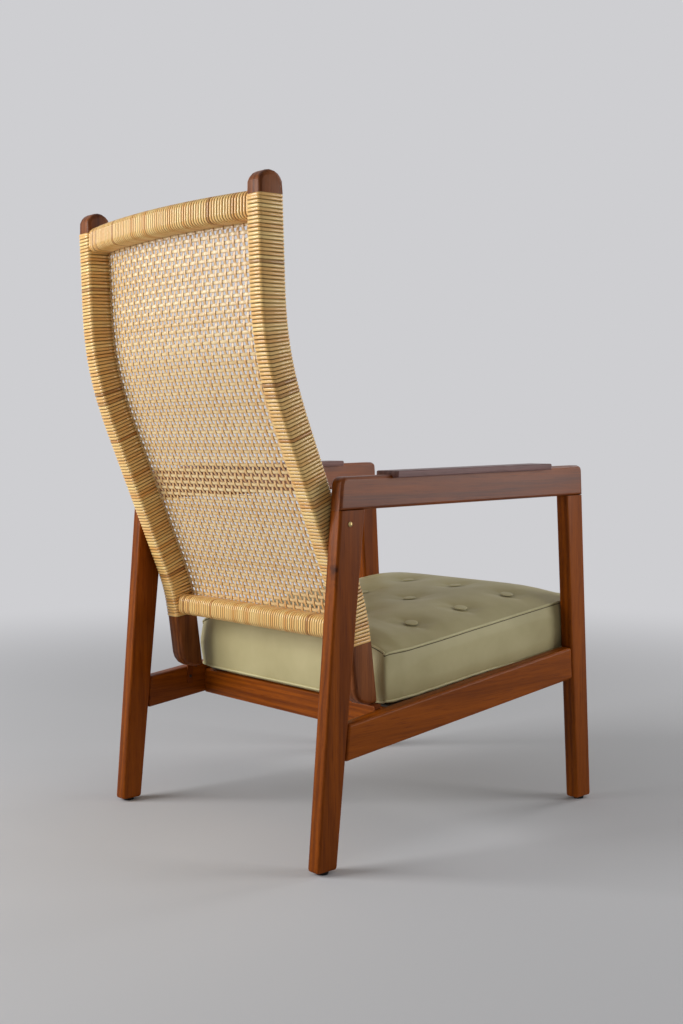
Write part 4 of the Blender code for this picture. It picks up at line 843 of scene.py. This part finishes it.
# Corded seams: a strip of the same leather round a cord, sewn in along the boxing's top and bottom edges.
# It is painted a little paler than the leather beside it, a painted highlight along the cord, and a thin
# dark tube under the upper one is painted shadow below it.
CORD_RADIUS, CORD_OUT, CORD_GRAIN = 0.0019, 0.0004, 1200
CORD_FROM_OUT, TOP_CORD_UP, BOTTOM_CORD_DOWN = 0.008, 0.006, 0.0035
SHADE_LINE_RADIUS, SHADE_LINE_DROP, SHADE_LINE_FROM_OUT, SHADE_LINE_GRAIN = 0.0008, 0.0026, 0.004, 2400
EDGE_POINTS, EVENINGS = 90, 4
CORD_HIGHLIT_DARK, CORD_HIGHLIT_LIGHT = linear(186, 177, 132), linear(210, 202, 156)
SHADE_LINE_DARK, SHADE_LINE_LIGHT = linear(70, 64, 40), linear(92, 84, 56)
highlit_cord_leather = leather_material("highlit_cord_leather", CORD_HIGHLIT_DARK, CORD_HIGHLIT_LIGHT, CORD_GRAIN)
painted_shade_line = leather_material("painted_shade_line", SHADE_LINE_DARK, SHADE_LINE_LIGHT, SHADE_LINE_GRAIN)
cushion_skin = BVHTree.FromPolygons([vertex.co for vertex in cushion.data.vertices],
                                    [polygon.vertices for polygon in cushion.data.polygons])


def lay_cord(name, line, radius, material):
    """Closed tube through points."""
    curve = bpy.data.curves.new(name, "CURVE")
    curve.dimensions = "3D"
    curve.bevel_depth = radius
    curve.bevel_resolution = 2
    add_line(curve, line).use_cyclic_u = True
    tube = make_mesh(name, curve)
    tube.data.materials.append(material)
    return tube


def along_skin(points, out):
    """The points moved to the cushion's skin and a little out of it, then evened."""
    line = []
    for point in points:
        on_skin, outward, _, _ = cushion_skin.find_nearest(Vector(point))
        line.append(on_skin + out * outward)
    line = np.array(line)
    for _ in range(EVENINGS):
        line = (np.roll(line, 1, axis=0) + 2 * line + np.roll(line, -1, axis=0)) / 4
    return line


edge = np.sin(np.linspace(-np.pi / 2, np.pi / 2, EDGE_POINTS))[:-1]
ones = np.ones(len(edge))
u = np.concatenate((edge, ones, -edge, -ones))
v = np.concatenate((-ones, edge, ones, -edge))
for seam in ("top", "bottom"):
    half_width, half_depth, middle, height, slope = seam_line(f"cushion_piping_{seam}")
    x = u * (half_width + CORD_FROM_OUT)
    y = middle + v * (half_depth + CORD_FROM_OUT)
    z = height - slope * (y - middle)
    if seam == "top":
        z += TOP_CORD_UP + rear_rise(u, v)
    else:
        z -= BOTTOM_CORD_DOWN + front_fall(v)
    line = along_skin(np.column_stack((x, y, z)), CORD_OUT)
    piping = lay_cord(f"corded_seam_{seam}", line, CORD_RADIUS, highlit_cord_leather)
    if seam == "top":
        # A thin dark tube just under the upper cord: painted shadow beneath the cord, not a sewn part.
        beside = SHADE_LINE_FROM_OUT * np.column_stack((u, v))
        below = line + np.column_stack((beside, np.full(len(u), -SHADE_LINE_DROP)))
        shade_line_tube = lay_cord("painted_shade_line", along_skin(below, 0), SHADE_LINE_RADIUS, painted_shade_line)
        select_only(piping)
        shade_line_tube.select_set(True)
        bpy.ops.object.join()
    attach(piping, "cushion")
    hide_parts(f"cushion_piping_{seam}")

# Covered buttons: low metal domes covered in the same leather, pulled down into the foam by twine.
# The leather is gathered under the rolled edge, so only the dome shows.
BUTTON_DARK, BUTTON_LIGHT = linear(174, 164, 120), linear(196, 187, 142)
BUTTON_RINGS = ((0.0112, 0), (0.0124, 0.0007), (0.0121, 0.0013), (0.0102, 0.0018), (0.0070, 0.0021),
                (0.0034, 0.0022))
BUTTON_SIDES = 20
bpy.ops.object.select_all(action="DESELECT")
bpy.ops.mesh.primitive_circle_add(vertices=BUTTON_SIDES, radius=BUTTON_RINGS[0][0], fill_type="NGON")
first_button = bpy.context.object
bpy.ops.object.mode_set(mode="EDIT")
bpy.ops.mesh.select_all(action="SELECT")
for (inner, below), (outer, above) in zip(BUTTON_RINGS, BUTTON_RINGS[1:]):
    bpy.ops.mesh.extrude_region_move(TRANSFORM_OT_translate={"value": (0, 0, above - below)})
    bpy.ops.transform.resize(value=(outer / inner, outer / inner, 1), center_override=(0, 0, above))
bpy.ops.mesh.select_all(action="SELECT")
bpy.ops.mesh.normals_make_consistent(inside=False)
bpy.ops.object.mode_set(mode="OBJECT")
rounder = first_button.modifiers.new("Rounder", "SUBSURF")
rounder.levels = rounder.render_levels = 1
bpy.ops.object.modifier_apply(modifier=rounder.name)
first_button.data.shade_smooth()
first_button.data.materials.append(
    leather_material("button_leather", BUTTON_DARK, BUTTON_LIGHT, CORD_GRAIN))
for node, spot in zip(button_nodes, button_places):
    button = copy_piece(first_button, "covered_" + node.removeprefix("cushion_"))
    shell = points_of(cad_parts[node].data)
    flat_way = np.linalg.svd(shell - shell.mean(axis=0), full_matrices=False)[2][2]
    flat_way = Vector(flat_way if flat_way[2] > 0 else -flat_way)
    crest = max((Vector(point) for point in shell), key=lambda point: point.dot(flat_way))
    lift = (crest - spot).dot(flat_way) - BUTTON_RINGS[-1][1]
    turned = flat_way.to_track_quat("Z", "Y").to_matrix().to_4x4()
    button.data.transform(Matrix.Translation(spot + lift * flat_way) @ turned)
    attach(button, "cushion")
    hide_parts(node)
bpy.data.objects.remove(first_button, do_unlink=True)

# Seat straps: woven rubber webbing from cross rail to cross rail, its ends turned down into a groove.
# A ribbed weave shows on it, and it is hidden by the cushion until that is drawn off.
STRAP_THICK, STRAP_TAIL, STRAP_SAG, STRAP_CLEAR = 0.0022, 0.009, 0.003, 0.0003
STRAP_STEPS_ACROSS, STRAP_STEPS_ALONG = 6, 24
WEBBING_DARK, WEBBING_LIGHT = linear(36, 32, 29), linear(84, 74, 62)
webbing, tree = new_finish("strap_webbing", Roughness=0.8)
place = add_node(tree, "TexCoord")
ribs = add_node(tree, "TexWave", bands_direction="X", Vector=place.outputs["Object"], Scale=110,
                Distortion=0.6, Detail=2)
tone = mix_colours(tree, ribs.outputs["Fac"], WEBBING_DARK, WEBBING_LIGHT)
tree.links.new(tone, tree.nodes["Principled BSDF"].inputs["Base Color"])
add_relief(tree, ribs.outputs["Fac"], strength=0.5, distance=0.0004)
low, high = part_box("seat_strap_3")
bpy.ops.object.select_all(action="DESELECT")
bpy.ops.mesh.primitive_grid_add(x_subdivisions=STRAP_STEPS_ACROSS, y_subdivisions=STRAP_STEPS_ALONG, size=1)
first_strap = bpy.context.object
co = points_of(first_strap.data)
share = co[:, 1] + 0.5
rear_z, front_z = low.z + STRAP_TAIL + STRAP_CLEAR + STRAP_THICK, high.z
co[:, 0] = co[:, 0] * (high.x - low.x)
co[:, 1] = low.y + share * (high.y - low.y)
co[:, 2] = front_z + share * (rear_z - front_z) - STRAP_SAG * np.sin(np.pi * share)
first_strap.data.vertices.foreach_set("co", co.ravel())
for end_y in (low.y, high.y):
    pick_points(first_strap,
                lambda place: abs(place.y - end_y) < SAME_POINT and place.z > low.z + STRAP_TAIL / 2)
    bpy.ops.mesh.select_mode(type="EDGE")
    bpy.ops.mesh.extrude_region_move(TRANSFORM_OT_translate={"value": (0, 0, -STRAP_TAIL)})
bpy.ops.mesh.select_all(action="SELECT")
bpy.ops.mesh.normals_make_consistent(inside=False)
bpy.ops.object.mode_set(mode="OBJECT")
body = first_strap.modifiers.new("Thickness", "SOLIDIFY")
body.thickness = STRAP_THICK
body.offset = -1 if first_strap.data.polygons[0].normal.z > 0 else 1
bpy.ops.object.modifier_apply(modifier=body.name)
bpy.ops.object.shade_smooth_by_angle(angle=SOFT_ANGLE)
first_strap.data.materials.append(webbing)
for number in range(1, 6):
    low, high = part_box(f"seat_strap_{number}")
    strap = copy_piece(first_strap, f"webbing_{number}")
    strap.data.transform(Matrix.Translation(((low.x + high.x) / 2, 0, 0)))
    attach(strap, "chair")
    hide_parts(f"seat_strap_{number}")
bpy.data.objects.remove(first_strap, do_unlink=True)

# Splines: slats of raw pale wood pressed into the grooves of the cross rails.
# They hold the ends of the straps, and only their upper edges can be seen.
SPLINE_DARK, SPLINE_LIGHT = linear(150, 112, 70), linear(196, 158, 108)
for number, end in enumerate(("rear", "front")):
    dress("strap_spline_" + end,
          saw_wood(f"spline_{end}_wood", "x", (4 + number, 0.3, 0.8), SPLINE_DARK, SPLINE_LIGHT))

# Bolts and inserts: brass gone dull; the bolt's small dome shows on the outer face of each rear leg.
# Rubber spacers sit on the bolts, brown-painted steel angles carry the stiles' feet, with dark screws,
# and the legs stand on plastic glides.
METAL_SHINE, OTHER_SHINE = 0.5, 0.12


def make_worn_patches():
    """Node group: cloudy patches where a finish is worn."""
    group, given, result = new_group(
        "worn_patches", {"Place": "Vector", "Dark": "Color", "Light": "Color", "Smooth": "Float",
                         "Rough": "Float"},
        {"Color": "Color", "Roughness": "Float"})
    cloud = add_node(group, "TexNoise", Vector=given["Place"], Scale=420, Detail=4)
    tone = mix_colours(group, cloud.outputs["Fac"], given["Dark"], given["Light"])
    gloss = add_node(group, "MapRange", Value=cloud.outputs["Fac"], To_Min=given["Smooth"],
                     To_Max=given["Rough"])
    group.links.new(tone, result["Color"])
    group.links.new(gloss.outputs["Result"], result["Roughness"])
    return group


worn_patches = make_worn_patches()
for finish_name, dark, light, smooth, rough, metallic, nodes in (
        ("aged_brass", (150, 122, 70), (222, 200, 142), 0.22, 0.42, 1, ("back_bolt", "bolt_insert")),
        ("dark_steel", (62, 48, 40), (96, 78, 66), 0.4, 0.6, 1, ("foot_screw", "rail_screw")),
        ("brown_paint", (100, 44, 6), (122, 58, 10), 0.6, 0.8, 0, ("foot_bracket",)),
        ("spacer_rubber", (30, 28, 27), (52, 48, 46), 0.7, 0.9, 0, ("stile_spacer",)),
        ("glide_plastic", (20, 20, 20), (40, 39, 38), 0.4, 0.6, 0, ("leg_glide_front", "leg_glide_rear"))):
    finish, tree = new_finish(finish_name, Metallic=metallic,
                              Specular_IOR_Level=METAL_SHINE if metallic else OTHER_SHINE)
    place_group(tree, worn_patches, {"Dark": linear(*dark), "Light": linear(*light), "Smooth": smooth,
                                     "Rough": rough})
    for node in nodes:
        dress(node + "_left", finish)
        dress(node + "_right", finish)
